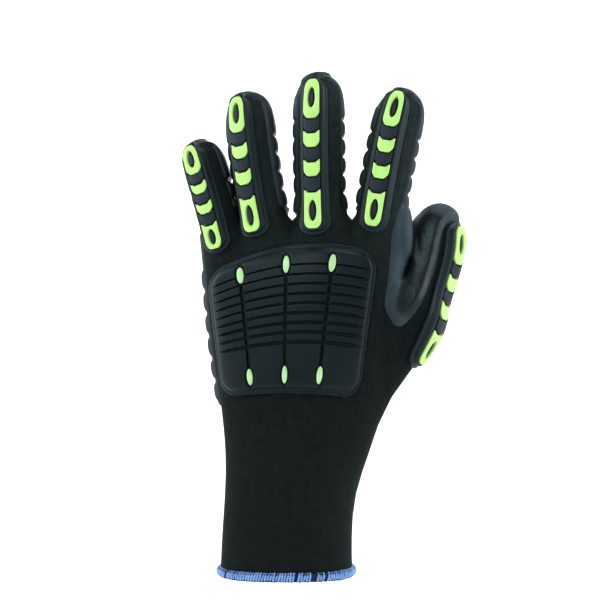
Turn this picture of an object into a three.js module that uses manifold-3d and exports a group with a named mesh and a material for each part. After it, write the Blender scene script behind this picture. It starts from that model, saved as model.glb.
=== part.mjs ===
// A left-hand work glove as it stands when worn: a seamless knitted shell with a padded palm coating,
// rubber guards with coloured inlays on the back, and an overlocked band round the cuff.
// Millimetres. +Z runs from the cuff to the fingertips and -Y is the way the back of the hand faces.
// The origin is the centre of the mouth of the cuff, in the plane of the band's lower edge.
import * as THREE from "three";
import { mergeVertices } from "three/addons/utils/BufferGeometryUtils.js";
import Module from "manifold-3d";

const wasm = await Module();
wasm.setup();

// Cuff and palm
const cuffLength = 64;
const cuffWidth = 67.4;
const cuffDepth = 47;
const palmLength = 110;
const palmWidth = 108;
const palmDepth = 38;
const palmTurn = 11;
const bodySquareness = 2.4;

// Knitted wall, and the play between neighbouring pieces
const wall = 1.8;
const gap = 0.3;

// Thumb
const thumbLength = 97;
const thumbWidth = 24.5;
const thumbDepth = 23;
const thumbBackTurn = 55;

// Palm coating and the pads under it
const coatingSkin = 0.9;
const fingerPadRise = 2.1;
const fingerPadPitch = 9.4;
const fingerPadLength = 8.1;
const tipPadLength = 22;
const palmPadRise = 3.1;
const palmPadPitch = 11.5;
const palmPadLength = 9.6;
const palmPadRows = 6;
const palmPadsInset = 2.5;
const coatingFrom = 0.2;
const coatingBelowCrotch = 6;
const fingerPadWrap = 1.75;
const thumbPadWrap = 2.45;
const fingerPads = { little: 3, ring: 5, middle: 5, index: 5, thumb: 3 };

// Digit guards and their inlays
const guardWidth = 14.4;
const guardRoom = 2;
const guardFlange = 1.9;
const guardRidgeWidth = 10.4;
const guardHeight = 4;
const inlayWidth = 6.4;
const inlayDepth = 1.5;
const inlayProud = 0.5;
const inlayNotch = 1.6;
const ovalWidth = 2.8;
const ovalLength = 9.6;

// Back plate
const plateLift = 1.1;
const plateClearance = 0.6;
const plateHeight = 4.6;
const plateFlange = 2.2;
const plateRimWidth = 2.4;
const plateOvalWidth = 3.2;
const plateOvalLength = 7.2;
const plateGrooveWidth = 1.3;
const plateGrooveDepth = 1.2;
const plateSlotWidth = 1.7;
const plateOvalRing = 0.9;
const plateOvalProud = 0.4;

// Band of overlock stitches on the mouth of the cuff
const bandHeight = 5.4;
const bandOutside = 2.2;
const bandInside = 1.2;
const bandPlay = 0.8;
const bandFloor = 2;

// Sections of the cuff: height is a share of cuffLength, the rest are shares of its width and depth.
const cuffSections = [
  { height: 0, width: 1, depth: 1, shift: 0, turn: 0 },
  { height: 0.28, width: 0.985, depth: 0.98, shift: 0.004, turn: 0 },
  { height: 0.64, width: 0.995, depth: 0.96, shift: 0.03, turn: 0 },
  { height: 1, width: 1.1, depth: 0.93, shift: 0.085, turn: 0.2 },
];

// Sections of the palm, as shares of its length, width, depth and turn. Valley is the dip between knuckles,
// and knuckled says how far the columns have moved under their fingers.
const palmSections = [
  { height: 0.25, width: 0.81, depth: 1.06, shift: 0.088, turn: 0.4, valley: 0, knuckled: 0.1 },
  { height: 0.5, width: 0.866, depth: 0.98, shift: 0.075, turn: 0.7, valley: 0, knuckled: 0.5 },
  { height: 0.78, width: 0.926, depth: 0.86, shift: 0.074, turn: 0.95, valley: 0.02, knuckled: 0.9 },
  { height: 0.89, width: 0.95, depth: 0.76, shift: 0.075, turn: 1, valley: 0.08, knuckled: 1 },
  { height: 0.97, width: 0.97, depth: 0.67, shift: 0.076, turn: 1, valley: 0.2, knuckled: 1 },
];
const thumbRootSection = cuffSections.length;
const thumbWebSection = thumbRootSection + 2;

// Where the columns of the back stand at the knuckles, as shares of half the palm's width, little finger first.
const knuckleColumns = [-0.93, -0.8, -0.615, -0.36, -0.1, 0.2, 0.49, 0.74, 0.93];
const crotchAboveKnuckles = 8;
const knuckleDip = 1;

// The four fingers. Lean and bow move the tip and the middle sideways, flex moves the tip to the palm side.
const fingers = [
  { name: "little", length: 46, width: 19.8, depth: 18.5, lean: -13.5, bow: 0.5, flex: 8, turn: 26 },
  { name: "ring", length: 71, width: 22.2, depth: 20.5, lean: -10.4, bow: -1.4, flex: 8, turn: 25 },
  { name: "middle", length: 80.5, width: 23, depth: 21.5, lean: -1.2, bow: -0.6, flex: 7, turn: 18 },
  { name: "index", length: 71.5, width: 22.6, depth: 21, lean: 14, bow: -1, flex: 6, turn: 15 },
];
const fingerSections = [
  { along: 0.2, size: 1.02 },
  { along: 0.42, size: 1 },
  { along: 0.64, size: 0.99 },
  { along: 0.83, size: 0.95 },
  { along: 0.945, size: 0.7 },
];

// Sections of the thumb. Along and out are shares of thumbLength from its root, half and deep are shares of
// its width and depth, toPalm is a share of its depth, and tilt is how far the section leans outwards.
const thumbSections = [
  { along: 0.46, out: 0.14, half: 0.78, deep: 0.62, toPalm: 0.04, tilt: 68 },
  { along: 0.58, out: 0.182, half: 0.6, deep: 0.55, toPalm: 0.12, tilt: 54 },
  { along: 0.7, out: 0.215, half: 0.52, deep: 0.51, toPalm: 0.2, tilt: 35 },
  { along: 0.83, out: 0.242, half: 0.49, deep: 0.49, toPalm: 0.26, tilt: 14.5 },
  { along: 0.945, out: 0.258, half: 0.35, deep: 0.35, toPalm: 0.3, tilt: 3 },
];
const thumbTip = { along: 1, out: 0.258, toPalm: 0.3 };

// Line inside the thumb that its guard and pads are set out from, in the same shares.
const thumbSpine = [
  { along: 0.1, out: 0, toPalm: 0 },
  { along: 0.46, out: 0.14, toPalm: 0.06 },
  { along: 0.7, out: 0.215, toPalm: 0.2 },
  { along: 0.985, out: 0.258, toPalm: 0.3 },
];

// Where each guard starts and ends along its digit, as shares of the digit's length.
const guardSpans = {
  little: [-0.18, 0.96],
  ring: [-0.01, 0.98],
  middle: [-0.01, 0.97],
  index: [0, 0.985],
  thumb: [0.095, 0.93],
};

// Inlays of a guard from its root, as shares of the guard's length.
const inlayRows = [
  { name: "root", from: 0.045, to: 0.285, round: "root", notch: true, oval: 0.155 },
  { name: "low", from: 0.365, to: 0.47, round: "none", notch: true },
  { name: "high", from: 0.545, to: 0.65, round: "none", notch: true },
  { name: "tip", from: 0.725, to: 0.965, round: "tip", notch: false, oval: 0.855 },
];

// Back plate in the plane of the view: corners and the rise of its edges, as shares of the palm's width and length.
const plate = {
  topLeft: [-0.37, 0.814],
  topRight: [0.418, 0.915],
  bottomRight: [0.325, 0.25],
  bottomLeft: [-0.293, 0.25],
  topRise: 0.087,
  bottomRise: 0.025,
  corner: 0.085,
};
const plateColumns = [-0.6, -0.058, 0.49];
const plateColumnLean = [0.057, -0.02, -0.093];
const plateOvalRows = { top: 0.13, bottom: 0.87 };
const plateGrooves = { count: 9, first: 0.139, last: 0.653, reach: 0.9 };

// Edge of the palm's sheet of coating on the thumb's side: level on the palm, and share of palmWidth.
const palmEdge = [
  [0.1, 0.44],
  [0.28, 0.49],
  [0.4, 0.57],
  [0.52, 0.59],
  [0.64, 0.53],
  [0.75, 0.48],
  [1.1, 0.46],
];

// Edge of the coating round the web of the thumb, seen from the back, in shares of palmWidth and palmLength.
const webEdge = [
  [0.64, 1.25],
  [0.572, 1.185],
  [0.535, 1.13],
  [0.489, 1.009],
  [0.484, 0.85],
  [0.463, 0.717],
  [0.453, 0.664],
  [0.512, 0.566],
  [0.569, 0.606],
  [0.635, 0.694],
  [0.673, 0.787],
  [0.706, 0.893],
  [0.733, 1.037],
  [0.776, 1.063],
  [0.815, 1.046],
  [0.95, 1.046],
  [0.95, 1.25],
];

const degrees = Math.PI / 180;
const bodyHeight = (level) => cuffLength + level * palmLength;
const crotchHeight = bodyHeight(1) + crotchAboveKnuckles;

// Quad meshes, kept as a list of points and a list of four-sided faces

function average(points) {
  const sum = new THREE.Vector3();
  for (const point of points) sum.add(point);
  return sum.divideScalar(points.length);
}

const edgeKey = (a, b) => (a < b ? `${a},${b}` : `${b},${a}`);

function neighbourhood({ points, quads }) {
  const edges = new Map();
  const around = points.map(() => ({ edges: new Set(), faces: [] }));
  quads.forEach((quad, face) => {
    quad.forEach((a, i) => {
      const b = quad[(i + 1) % 4];
      const key = edgeKey(a, b);
      if (!edges.has(key)) edges.set(key, { ends: [a, b], faces: [] });
      edges.get(key).faces.push(face);
      around[a].faces.push(face);
      around[a].edges.add(key);
      around[b].edges.add(key);
    });
  });
  return { edges, around };
}

const openEdges = (vertex, edges) => [...vertex.edges].filter((key) => edges.get(key).faces.length === 1);

const otherEnd = (edge, a) => (edge.ends[0] === a ? edge.ends[1] : edge.ends[0]);

// One Catmull-Clark step.
function refine(mesh) {
  const { points, quads } = mesh;
  const { edges, around } = neighbourhood(mesh);
  const facePoints = quads.map((quad) => average(quad.map((i) => points[i])));
  const edgeIndex = new Map();
  const edgePoints = [];
  for (const [key, edge] of edges) {
    const ends = edge.ends.map((i) => points[i]);
    const inner = edge.faces.length === 2 ? edge.faces.map((f) => facePoints[f]) : [];
    edgeIndex.set(key, points.length + edgePoints.length);
    edgePoints.push(average([...ends, ...inner]));
  }
  const moved = points.map((point, a) => {
    const rim = openEdges(around[a], edges);
    if (rim.length) {
      const ends = rim.map((key) => points[otherEnd(edges.get(key), a)]);
      return average([point, point, point, point, point, point, ...ends]);
    }
    const count = around[a].faces.length;
    if (!count) return point.clone();
    const middles = [...around[a].edges].map((key) => average(edges.get(key).ends.map((i) => points[i])));
    return average(around[a].faces.map((f) => facePoints[f]))
      .addScaledVector(average(middles), 2)
      .addScaledVector(point, count - 3)
      .divideScalar(count);
  });
  const firstFace = points.length + edgePoints.length;
  const finer = quads.flatMap((quad, f) =>
    quad.map((a, i) => {
      const next = edgeIndex.get(edgeKey(a, quad[(i + 1) % 4]));
      const last = edgeIndex.get(edgeKey(a, quad[(i + 3) % 4]));
      return [a, next, firstFace + f, last];
    }),
  );
  return { points: [...moved, ...edgePoints, ...facePoints], quads: finer };
}

// Each point's place on the smooth surface that endless refining would give.
function limitOf(mesh) {
  const { points, quads } = mesh;
  const { edges, around } = neighbourhood(mesh);
  return points.map((point, a) => {
    const rim = openEdges(around[a], edges);
    if (rim.length) {
      const ends = rim.map((key) => points[otherEnd(edges.get(key), a)]);
      return average([point, point, point, point, ...ends]);
    }
    const count = around[a].faces.length;
    if (!count) return point.clone();
    const sum = point.clone().multiplyScalar(count * count);
    for (const key of around[a].edges) sum.addScaledVector(points[otherEnd(edges.get(key), a)], 4);
    for (const f of around[a].faces) sum.add(points[quads[f][(quads[f].indexOf(a) + 2) % 4]]);
    return sum.divideScalar(count * (count + 5));
  });
}

// Moves a cage's points until its smooth surface runs through where they stood.
function fitCage(cage) {
  const rounds = 3;
  let points = cage.points.map((point) => point.clone());
  for (let round = 0; round < rounds; round++) {
    const limits = limitOf({ points, quads: cage.quads });
    points = points.map((point, i) => point.clone().add(cage.points[i]).sub(limits[i]));
  }
  return { points, quads: cage.quads };
}

function offsetBy(mesh, distance) {
  const normals = mesh.points.map(() => new THREE.Vector3());
  for (const [a, b, c, d] of mesh.quads) {
    const { points } = mesh;
    const first = points[c].clone().sub(points[a]);
    const second = points[d].clone().sub(points[b]);
    const normal = first.cross(second);
    for (const i of [a, b, c, d]) normals[i].add(normal);
  }
  const moved = mesh.points.map((point, i) => point.clone().addScaledVector(normals[i].normalize(), distance));
  return { points: moved, quads: mesh.quads };
}

// Solids

function solidOf(points, triangles) {
  const geometry = new THREE.BufferGeometry().setFromPoints(points).setIndex(triangles.flat());
  const merged = mergeVertices(geometry, 1e-4);
  return new wasm.Manifold(
    new wasm.Mesh({
      numProp: 3,
      vertProperties: merged.attributes.position.array,
      triVerts: new Uint32Array(merged.index.array),
    }),
  );
}

function geometryOf(solid) {
  const { vertProperties, triVerts, numProp, numVert } = solid.getMesh();
  const positions = new Float32Array(numVert * 3);
  for (let i = 0; i < numVert; i++) positions.set(vertProperties.subarray(i * numProp, i * numProp + 3), i * 3);
  const geometry = new THREE.BufferGeometry();
  geometry.setAttribute("position", new THREE.BufferAttribute(positions, 3));
  geometry.setIndex(new THREE.BufferAttribute(triVerts, 1));
  geometry.computeVertexNormals();
  return geometry;
}

const joined = (solids) => solids.reduce((all, solid) => all.add(solid));

// The main body of a solid, without the slivers and closed pockets that cutting curved pieces can leave.
function wholeOf(solid) {
  return solid.decompose().reduce((best, body) => (body.volume() > best.volume() ? body : best));
}

// A solid through rings of equal length, closed by a fan at each end.
function loft(rings) {
  const count = rings[0].length;
  const points = rings.flat();
  const triangles = [];
  for (let r = 0; r + 1 < rings.length; r++)
    for (let i = 0; i < count; i++) {
      const a = r * count + i;
      const b = r * count + ((i + 1) % count);
      triangles.push([a, b, b + count], [a, b + count, a + count]);
    }
  const low = points.push(average(rings[0])) - 1;
  const high = points.push(average(rings.at(-1))) - 1;
  const top = (rings.length - 1) * count;
  for (let i = 0; i < count; i++) {
    const next = (i + 1) % count;
    triangles.push([low, next, i], [high, top + i, top + next]);
  }
  return solidOf(points, triangles);
}

// The knitted shell's cage: rings of the cuff and palm, then a tube for each digit

const bodySections = [
  ...cuffSections.map((row) => ({
    z: bandFloor + gap + row.height * (cuffLength - bandFloor - gap),
    half: (row.width * cuffWidth) / 2,
    deep: (row.depth * cuffDepth) / 2,
    x: row.shift * cuffWidth,
    turn: row.turn * palmTurn * degrees,
    valley: 0,
    knuckled: 0,
  })),
  ...palmSections.map((row) => ({
    z: bodyHeight(row.height),
    half: (row.width * palmWidth) / 2,
    deep: (row.depth * palmDepth) / 2,
    x: row.shift * palmWidth,
    turn: row.turn * palmTurn * degrees,
    valley: row.valley,
    knuckled: row.knuckled,
  })),
];

// A point of a body section: share runs from -1 at the little finger's edge to 1 at the thumb's.
function bodyPoint(section, share, side) {
  const across = share * section.half;
  const depth = section.deep * (1 - Math.abs(share) ** bodySquareness) ** (1 / bodySquareness);
  const back = side * depth;
  return new THREE.Vector3(
    section.x + across * Math.cos(section.turn) - back * Math.sin(section.turn),
    -across * Math.sin(section.turn) - back * Math.cos(section.turn),
    section.z,
  );
}

function bodyRing(section, last) {
  const columns = knuckleColumns.length;
  const side = (way) =>
    knuckleColumns.map((knuckle, k) => {
      const even = -Math.cos(((k + 1) * Math.PI) / (columns + 1));
      const share = THREE.MathUtils.lerp(even, knuckle, section.knuckled);
      const between = k % 2 === 0 && k > 0 && k < columns - 1;
      const point = bodyPoint(section, share, way * (between ? 1 - section.valley : 1));
      if (last) point.z -= between ? 0 : knuckleDip;
      return point;
    });
  return [bodyPoint(section, -1, 1), ...side(1), bodyPoint(section, 1, 1), ...side(-1).reverse()];
}

function fingerSpine(finger, root) {
  const along = (s) =>
    new THREE.Vector3(
      root.x + finger.lean * s + 4 * finger.bow * s * (1 - s),
      root.y + finger.flex * s * s,
      root.z + finger.length * s,
    );
  const steps = 8;
  return new THREE.CatmullRomCurve3(Array.from({ length: steps + 1 }, (_, i) => along(i / steps)));
}

// Axes of a digit's cross-section: back is the way its guard faces, across runs to the thumb's side.
function crossAxes(spine, s, turn) {
  const tangent = spine.getTangentAt(Math.min(Math.max(s, 0), 1));
  const back = new THREE.Vector3(-Math.sin(turn), -Math.cos(turn), 0);
  back.addScaledVector(tangent, -back.dot(tangent)).normalize();
  const across = tangent.clone().cross(back);
  return { tangent, back, across };
}

const eightAngles = Array.from({ length: 8 }, (_, i) => (i * Math.PI) / 4);

// Cross-sections of a finger from its root to its tip, drawn in by inset.
function fingerRings(finger, spine, inset) {
  return fingerSections.map(({ along, size }) => {
    const centre = spine.getPointAt(along);
    const axes = crossAxes(spine, along, finger.turn * degrees);
    const half = (size * finger.width) / 2 - inset;
    const deep = (size * finger.depth) / 2 - inset;
    return eightAngles.map((angle) =>
      centre
        .clone()
        .addScaledVector(axes.across, -Math.cos(angle) * half)
        .addScaledVector(axes.back, Math.sin(angle) * deep),
    );
  });
}

function thumbPoint(root, { along, out, toPalm }) {
  return new THREE.Vector3(
    root.x + out * thumbLength,
    root.y + toPalm * thumbDepth,
    root.z + along * thumbLength,
  );
}

function thumbRings(root, inset) {
  return thumbSections.map((section) => {
    const centre = thumbPoint(root, section);
    const tilt = section.tilt * degrees;
    const out = new THREE.Vector3(Math.cos(tilt), 0, -Math.sin(tilt));
    const toPalm = new THREE.Vector3(0, 1, 0);
    return eightAngles.map((angle) =>
      centre
        .clone()
        .addScaledVector(out, Math.cos(angle) * (section.half * thumbWidth - inset))
        .addScaledVector(toPalm, Math.sin(angle) * (section.deep * thumbDepth - inset)),
    );
  });
}

// Adds a tube to the cage, from a ring of eight points that is there already to a tip.
function addTube(cage, baseRing, rings, tip) {
  let below = baseRing;
  for (const ring of rings) {
    const here = ring.map((point) => cage.points.push(point) - 1);
    here.forEach((_, i) => {
      const next = (i + 1) % here.length;
      cage.quads.push([below[i], below[next], here[next], here[i]]);
    });
    below = here;
  }
  const top = cage.points.push(tip) - 1;
  for (let i = 0; i < below.length; i += 2) {
    cage.quads.push([below[i], below[i + 1], below[(i + 2) % below.length], top]);
  }
}

function makeCage() {
  const cage = { points: [], quads: [] };
  const rings = bodySections.map((section, j) =>
    bodyRing(section, j === bodySections.length - 1).map((point) => cage.points.push(point) - 1),
  );
  const around = rings[0].length;
  const columns = knuckleColumns.length;
  const edgeColumn = columns + 1;
  rings.slice(0, -1).forEach((ring, j) =>
    ring.forEach((_, k) => {
      const inThumb = j >= thumbRootSection && j < thumbWebSection;
      if (inThumb && (k === edgeColumn - 1 || k === edgeColumn)) return;
      const next = (k + 1) % around;
      cage.quads.push([ring[k], ring[next], rings[j + 1][next], rings[j + 1][k]]);
    }),
  );

  const top = rings.at(-1);
  const back = (k) => top[k + 1];
  const front = (k) => top[around - 1 - k];
  const crotches = [top[0]];
  for (let k = 2; k < columns - 1; k += 2) {
    const middle = average([cage.points[back(k)], cage.points[front(k)]]);
    middle.z = crotchHeight;
    crotches.push(cage.points.push(middle) - 1);
  }
  crotches.push(top[edgeColumn]);

  const spines = {};
  fingers.forEach((finger, i) => {
    const baseRing = [
      crotches[i],
      back(2 * i),
      back(2 * i + 1),
      back(2 * i + 2),
      crotches[i + 1],
      front(2 * i + 2),
      front(2 * i + 1),
      front(2 * i),
    ];
    const root = average(baseRing.map((a) => cage.points[a]));
    root.z = bodyHeight(1);
    const spine = fingerSpine(finger, root);
    addTube(cage, baseRing, fingerRings(finger, spine, 0), spine.getPointAt(1));
    spines[finger.name] = { spine, turn: finger.turn * degrees, radius: (finger.width + finger.depth) / 4 };
  });

  const low = rings[thumbRootSection];
  const middle = rings[thumbRootSection + 1];
  const high = rings[thumbWebSection];
  const backEdge = edgeColumn - 1;
  const frontEdge = edgeColumn + 1;
  const thumbRing = [
    low[edgeColumn],
    low[frontEdge],
    middle[frontEdge],
    high[frontEdge],
    high[edgeColumn],
    high[backEdge],
    middle[backEdge],
    low[backEdge],
  ];
  const root = cage.points[low[edgeColumn]];
  addTube(cage, thumbRing, thumbRings(root, 0), thumbPoint(root, thumbTip));
  spines.thumb = {
    spine: new THREE.CatmullRomCurve3(thumbSpine.map((row) => thumbPoint(root, row))),
    turn: -thumbBackTurn * degrees,
    radius: (thumbWidth + thumbDepth) / 4,
  };
  return { cage, spines, thumbRoot: root };
}

const { cage, spines, thumbRoot } = makeCage();
const fitted = fitCage(cage);
const fine = refine(fitted);
const outside = { points: limitOf(fine), quads: fine.quads };

// The rim of an open surface, anticlockwise as seen from above.
function rimOf({ points, quads }) {
  const { edges } = neighbourhood({ points, quads });
  const next = new Map();
  for (const { ends, faces } of edges.values()) {
    if (faces.length > 1) continue;
    const quad = quads[faces[0]];
    const forward = quad[(quad.indexOf(ends[0]) + 1) % 4] === ends[1];
    next.set(ends[forward ? 0 : 1], ends[forward ? 1 : 0]);
  }
  const loop = [next.keys().next().value];
  while (next.get(loop.at(-1)) !== loop[0]) loop.push(next.get(loop.at(-1)));
  return loop;
}

// A surface of the glove grown by distance, as a closed solid that runs straight down from its mouth by reach.
function closedBody(surface, distance, reach) {
  const { points, quads } = offsetBy(surface, distance);
  const loop = rimOf(surface);
  const all = [...points];
  const lowered = loop.map((a) => all.push(points[a].clone().setZ(points[a].z - reach)) - 1);
  const centre = all.push(average(lowered.map((a) => all[a]))) - 1;
  const triangles = quads.flatMap(([a, b, c, d]) => [
    [a, b, c],
    [a, c, d],
  ]);
  loop.forEach((a, i) => {
    const j = (i + 1) % loop.length;
    triangles.push([loop[j], a, lowered[i]], [loop[j], lowered[i], lowered[j]], [lowered[j], lowered[i], centre]);
  });
  return solidOf(all, triangles);
}

// The hollow that the hand goes into
function hollow() {
  const inset = (section) => ({ ...section, half: section.half - wall, deep: section.deep - wall });
  const rows = bodySections.map((section, j) => bodyRing(inset(section), false));
  const below = rows[0].map((point) => point.clone().setZ(-bandHeight));
  const parts = [loft([below, ...rows])];
  for (const finger of fingers) {
    const { spine } = spines[finger.name];
    const rings = fingerRings(finger, spine, wall);
    const lift = bodyHeight(0.93) - rings[0][0].z;
    const root = rings[0].map((point) => point.clone().addScaledVector(spine.getTangentAt(0), lift));
    parts.push(loft([root, ...rings]));
  }
  const thumb = thumbRings(thumbRoot, wall);
  const inward = new THREE.Vector3(-0.55 * thumbWidth, 0, -0.25 * thumbWidth);
  const heart = average(thumb[0]).add(inward);
  parts.push(loft([thumb[0].map((point) => point.clone().add(inward).lerp(heart, 0.35)), ...thumb]));
  return joined(parts);
}

const shell = closedBody(outside, 0, 0.01).subtract(hollow());
const keepOut = closedBody(outside, gap, 1);

// Points on the glove's outside, found by a ray from inside it or from behind its back

const outsideMesh = new THREE.Mesh(
  new THREE.BufferGeometry()
    .setFromPoints(outside.points)
    .setIndex(outside.quads.flatMap(([a, b, c, d]) => [a, b, c, a, c, d])),
  new THREE.MeshBasicMaterial({ side: THREE.DoubleSide }),
);
const raycaster = new THREE.Raycaster();

function reachFrom(origin, direction, fallback) {
  raycaster.set(origin, direction);
  const hits = raycaster.intersectObject(outsideMesh);
  return hits.length ? hits[0].distance : fallback;
}

// A point of a digit: v in mm along its spine, u in mm round it from the middle of its back, h above its surface.
// Past the centre of the tip the lines run on over its round end.
function digitPoint(digit, u, v, h) {
  const length = digit.spine.getLength();
  const last = length - digit.radius;
  const s = Math.max(Math.min(v, last), 0) / length;
  const { tangent, back, across } = crossAxes(digit.spine, s, digit.turn);
  const centre = digit.spine.getPointAt(s).addScaledVector(tangent, Math.min(v, 0));
  const round = u / digit.radius;
  const over = Math.max(v - last, 0) / digit.radius;
  const way = back.multiplyScalar(Math.cos(round)).addScaledVector(across, Math.sin(round));
  way.multiplyScalar(Math.cos(over)).addScaledVector(tangent, Math.sin(over));
  return centre.addScaledVector(way, reachFrom(centre, way, digit.radius) + h);
}

// A solid slab over a grid of [u, v] places, between two heights above the surface that place gives.
// Where high is null, each place carries the height of its own top. Kept says which rows the underside has.
function slab(place, grid, low, high, kept = () => true) {
  const last = grid.length - 1;
  const columns = grid[0].length;
  const under = grid.map((_, r) => r).filter((r) => r === 0 || r === last || kept(grid[r], r));
  const points = grid.flatMap((row) => row.map(([u, v, own]) => place(u, v, high ?? own)));
  const base = points.length;
  points.push(...under.flatMap((r) => grid[r].map(([u, v]) => place(u, v, low))));
  const top = (r, c) => r * columns + c;
  const foot = (k, c) => base + k * columns + c;
  const triangles = [];
  for (let c = 0; c + 1 < columns; c++) {
    for (let r = 0; r < last; r++) {
      triangles.push([top(r, c), top(r, c + 1), top(r + 1, c + 1)], [top(r, c), top(r + 1, c + 1), top(r + 1, c)]);
    }
    for (let k = 0; k + 1 < under.length; k++) {
      const [i, j, m, l] = [foot(k, c), foot(k, c + 1), foot(k + 1, c + 1), foot(k + 1, c)];
      triangles.push([i, m, j], [i, l, m]);
    }
    const end = under.length - 1;
    triangles.push([foot(0, c), foot(0, c + 1), top(0, c + 1)], [foot(0, c), top(0, c + 1), top(0, c)]);
    triangles.push([foot(end, c + 1), foot(end, c), top(last, c)], [foot(end, c + 1), top(last, c), top(last, c + 1)]);
  }
  for (const [c, right] of [[0, false], [columns - 1, true]]) {
    for (let k = 0; k + 1 < under.length; k++) {
      const fan = [];
      for (let r = under[k]; r < under[k + 1]; r++) fan.push([foot(k, c), top(r + 1, c), top(r, c)]);
      fan.push([foot(k, c), foot(k + 1, c), top(under[k + 1], c)]);
      triangles.push(...fan.map(([p, q, s]) => (right ? [p, q, s] : [p, s, q])));
    }
  }
  return solidOf(points, triangles);
}

const shares = (count) => Array.from({ length: count + 1 }, (_, i) => i / count);

// Half the width of a strip at d mm from an end that is rounded with radius r.
const roundedHalf = (half, r, d) => (d >= r ? half : half - r + Math.sqrt(Math.max(r * r - (r - d) ** 2, 0)));

// Grid of a strip from one v to another. Each end is square, or rounded with its radius, or notched.
function strip({ from, to, half, roundFrom = 0, roundTo = 0, notch = 0, across = 2, pitch = 12 }) {
  const length = to - from;
  const ends = [0.06, 0.4, 1];
  const low = roundFrom ? ends.map((e) => from + e * roundFrom) : [from];
  const high = roundTo ? ends.map((e) => to - e * roundTo).reverse() : [to];
  const middle = high[0] - low.at(-1);
  const steps = Math.max(1, Math.round(middle / pitch));
  const rows = [...low.slice(0, -1), ...shares(steps).map((t) => low.at(-1) + t * middle), ...high.slice(1)];
  return rows.map((v) => {
    const h = Math.min(
      roundFrom ? roundedHalf(half, roundFrom, v - from) : half,
      roundTo ? roundedHalf(half, roundTo, to - v) : half,
    );
    return shares(across).map((t) => {
      const w = 2 * t - 1;
      return [w * h, v - notch * ((v - from) / length) * (1 - w * w)];
    });
  });
}

// Grid of an oval, squeezed a little at its two ends. Lean is how far its top stands to the side.
function oval(u, v, width, length, lean = 0) {
  const rows = [-0.97, -0.7, 0, 0.7, 0.97];
  return rows.map((t) => {
    const half = (width / 2) * Math.sqrt(1 - t * t);
    return [-1, 0, 1].map((w) => [u + w * half + (t * lean) / 2, v + (t * length) / 2]);
  });
}

// Guards and inlays of the digits

const liftOff = gap + 0.6;
const pieces = [];

// Grid of a guard with the height of its top at each place: a flat flange round a raised ridge.
function guardGrid(from, to) {
  const half = guardWidth / 2;
  const lip = (guardWidth - guardRidgeWidth) / 2;
  const bevel = 0.3;
  const middle = to - from - 2 * half;
  const steps = shares(Math.max(2, Math.round(middle / 14))).map((t) => half + t * middle);
  const starts = [0.04 * half, lip - bevel, lip + bevel, 0.6 * half];
  const along = [...starts, ...steps, ...starts.map((d) => to - from - d).reverse()];
  return along.map((d) => {
    const inEnd = Math.min(d, to - from - d);
    const outer = roundedHalf(half, half, inEnd);
    const onRidge = inEnd > lip;
    const inner = onRidge ? Math.max(roundedHalf(half - lip, half - lip, inEnd - lip), 0.5) : 0.6 * outer;
    const edges = [outer, inner + bevel, inner - bevel];
    const rising = [...edges.map((e) => -e), 0, ...edges.reverse()];
    return rising.map((u, i) => [u, from + d, onRidge && i > 1 && i < 5 ? guardHeight : guardFlange]);
  });
}

for (const [name, digit] of Object.entries(spines)) {
  const place = (u, v, h) => digitPoint(digit, u, v, h);
  const length = digit.spine.getLength();
  const [start, end] = guardSpans[name].map((share) => share * length);
  const run = end - start;
  let guard = slab(place, guardGrid(start, end), liftOff, null);
  inlayRows.forEach((row) => {
    const from = start + row.from * run;
    const to = start + row.to * run;
    const half = inlayWidth / 2;
    const round = half * 0.95;
    const shape = (grow) => ({
      from: from - grow,
      to: to + grow,
      half: half + grow,
      roundFrom: row.round === "root" ? round + grow : 0,
      roundTo: row.round === "tip" ? round + grow : 0,
      notch: row.notch ? inlayNotch : 0,
    });
    guard = guard.subtract(slab(place, strip(shape(gap)), guardHeight - inlayDepth - gap, guardHeight + 2));
    let inlay = slab(place, strip(shape(0)), guardHeight - inlayDepth, guardHeight + inlayProud);
    if (row.oval) {
      const hole = oval(0, start + row.oval * run, ovalWidth, Math.min(ovalLength, (to - from) * 0.62));
      inlay = inlay.subtract(slab(place, hole, guardHeight - inlayDepth - 1, guardHeight + inlayProud + 1));
    }
    pieces.push([`${name}_inlay_${row.name}`, inlay, "inlay"]);
  });
  pieces.push([`${name}_guard`, wholeOf(guard.subtract(keepOut)), "guard"]);
}

// Back plate

const plateXZ = ([x, level]) => [x * palmWidth, bodyHeight(level)];
const plateCorners = {
  topLeft: plateXZ(plate.topLeft),
  topRight: plateXZ(plate.topRight),
  bottomRight: plateXZ(plate.bottomRight),
  bottomLeft: plateXZ(plate.bottomLeft),
};

// A place on the plate: a runs from -1 at its left edge to 1 at its right, b from 0 at the top to 1 at the foot.
function plateSpot(a, b) {
  const t = (a + 1) / 2;
  const lerp = THREE.MathUtils.lerp;
  const left = [0, 1].map((i) => lerp(plateCorners.topLeft[i], plateCorners.bottomLeft[i], b));
  const right = [0, 1].map((i) => lerp(plateCorners.topRight[i], plateCorners.bottomRight[i], b));
  const bulge = 4 * t * (1 - t);
  const rise = lerp(plate.topRise, plate.bottomRise, b) * palmLength * bulge;
  return [lerp(left[0], right[0], t), lerp(left[1], right[1], t) + rise];
}

function platePoint(a, b, h) {
  const [x, z] = plateSpot(a, b);
  const from = new THREE.Vector3(x, -palmDepth * 2, z);
  const depth = reachFrom(from, new THREE.Vector3(0, 1, 0), palmDepth * 2);
  const out = new THREE.Vector3(0.75 * a * Math.abs(a), -1, 0).normalize();
  return from.setY(from.y + depth).addScaledVector(out, h);
}

// Half the plate's run of a at b, drawn in round its corners.
function plateHalf(b, inset) {
  const near = Math.min(b, 1 - b) * plateTall;
  const half = plateWide / 2;
  return (roundedHalf(half, plateCorner, Math.max(near, 0.04 * plateCorner)) - inset) / half;
}

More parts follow.
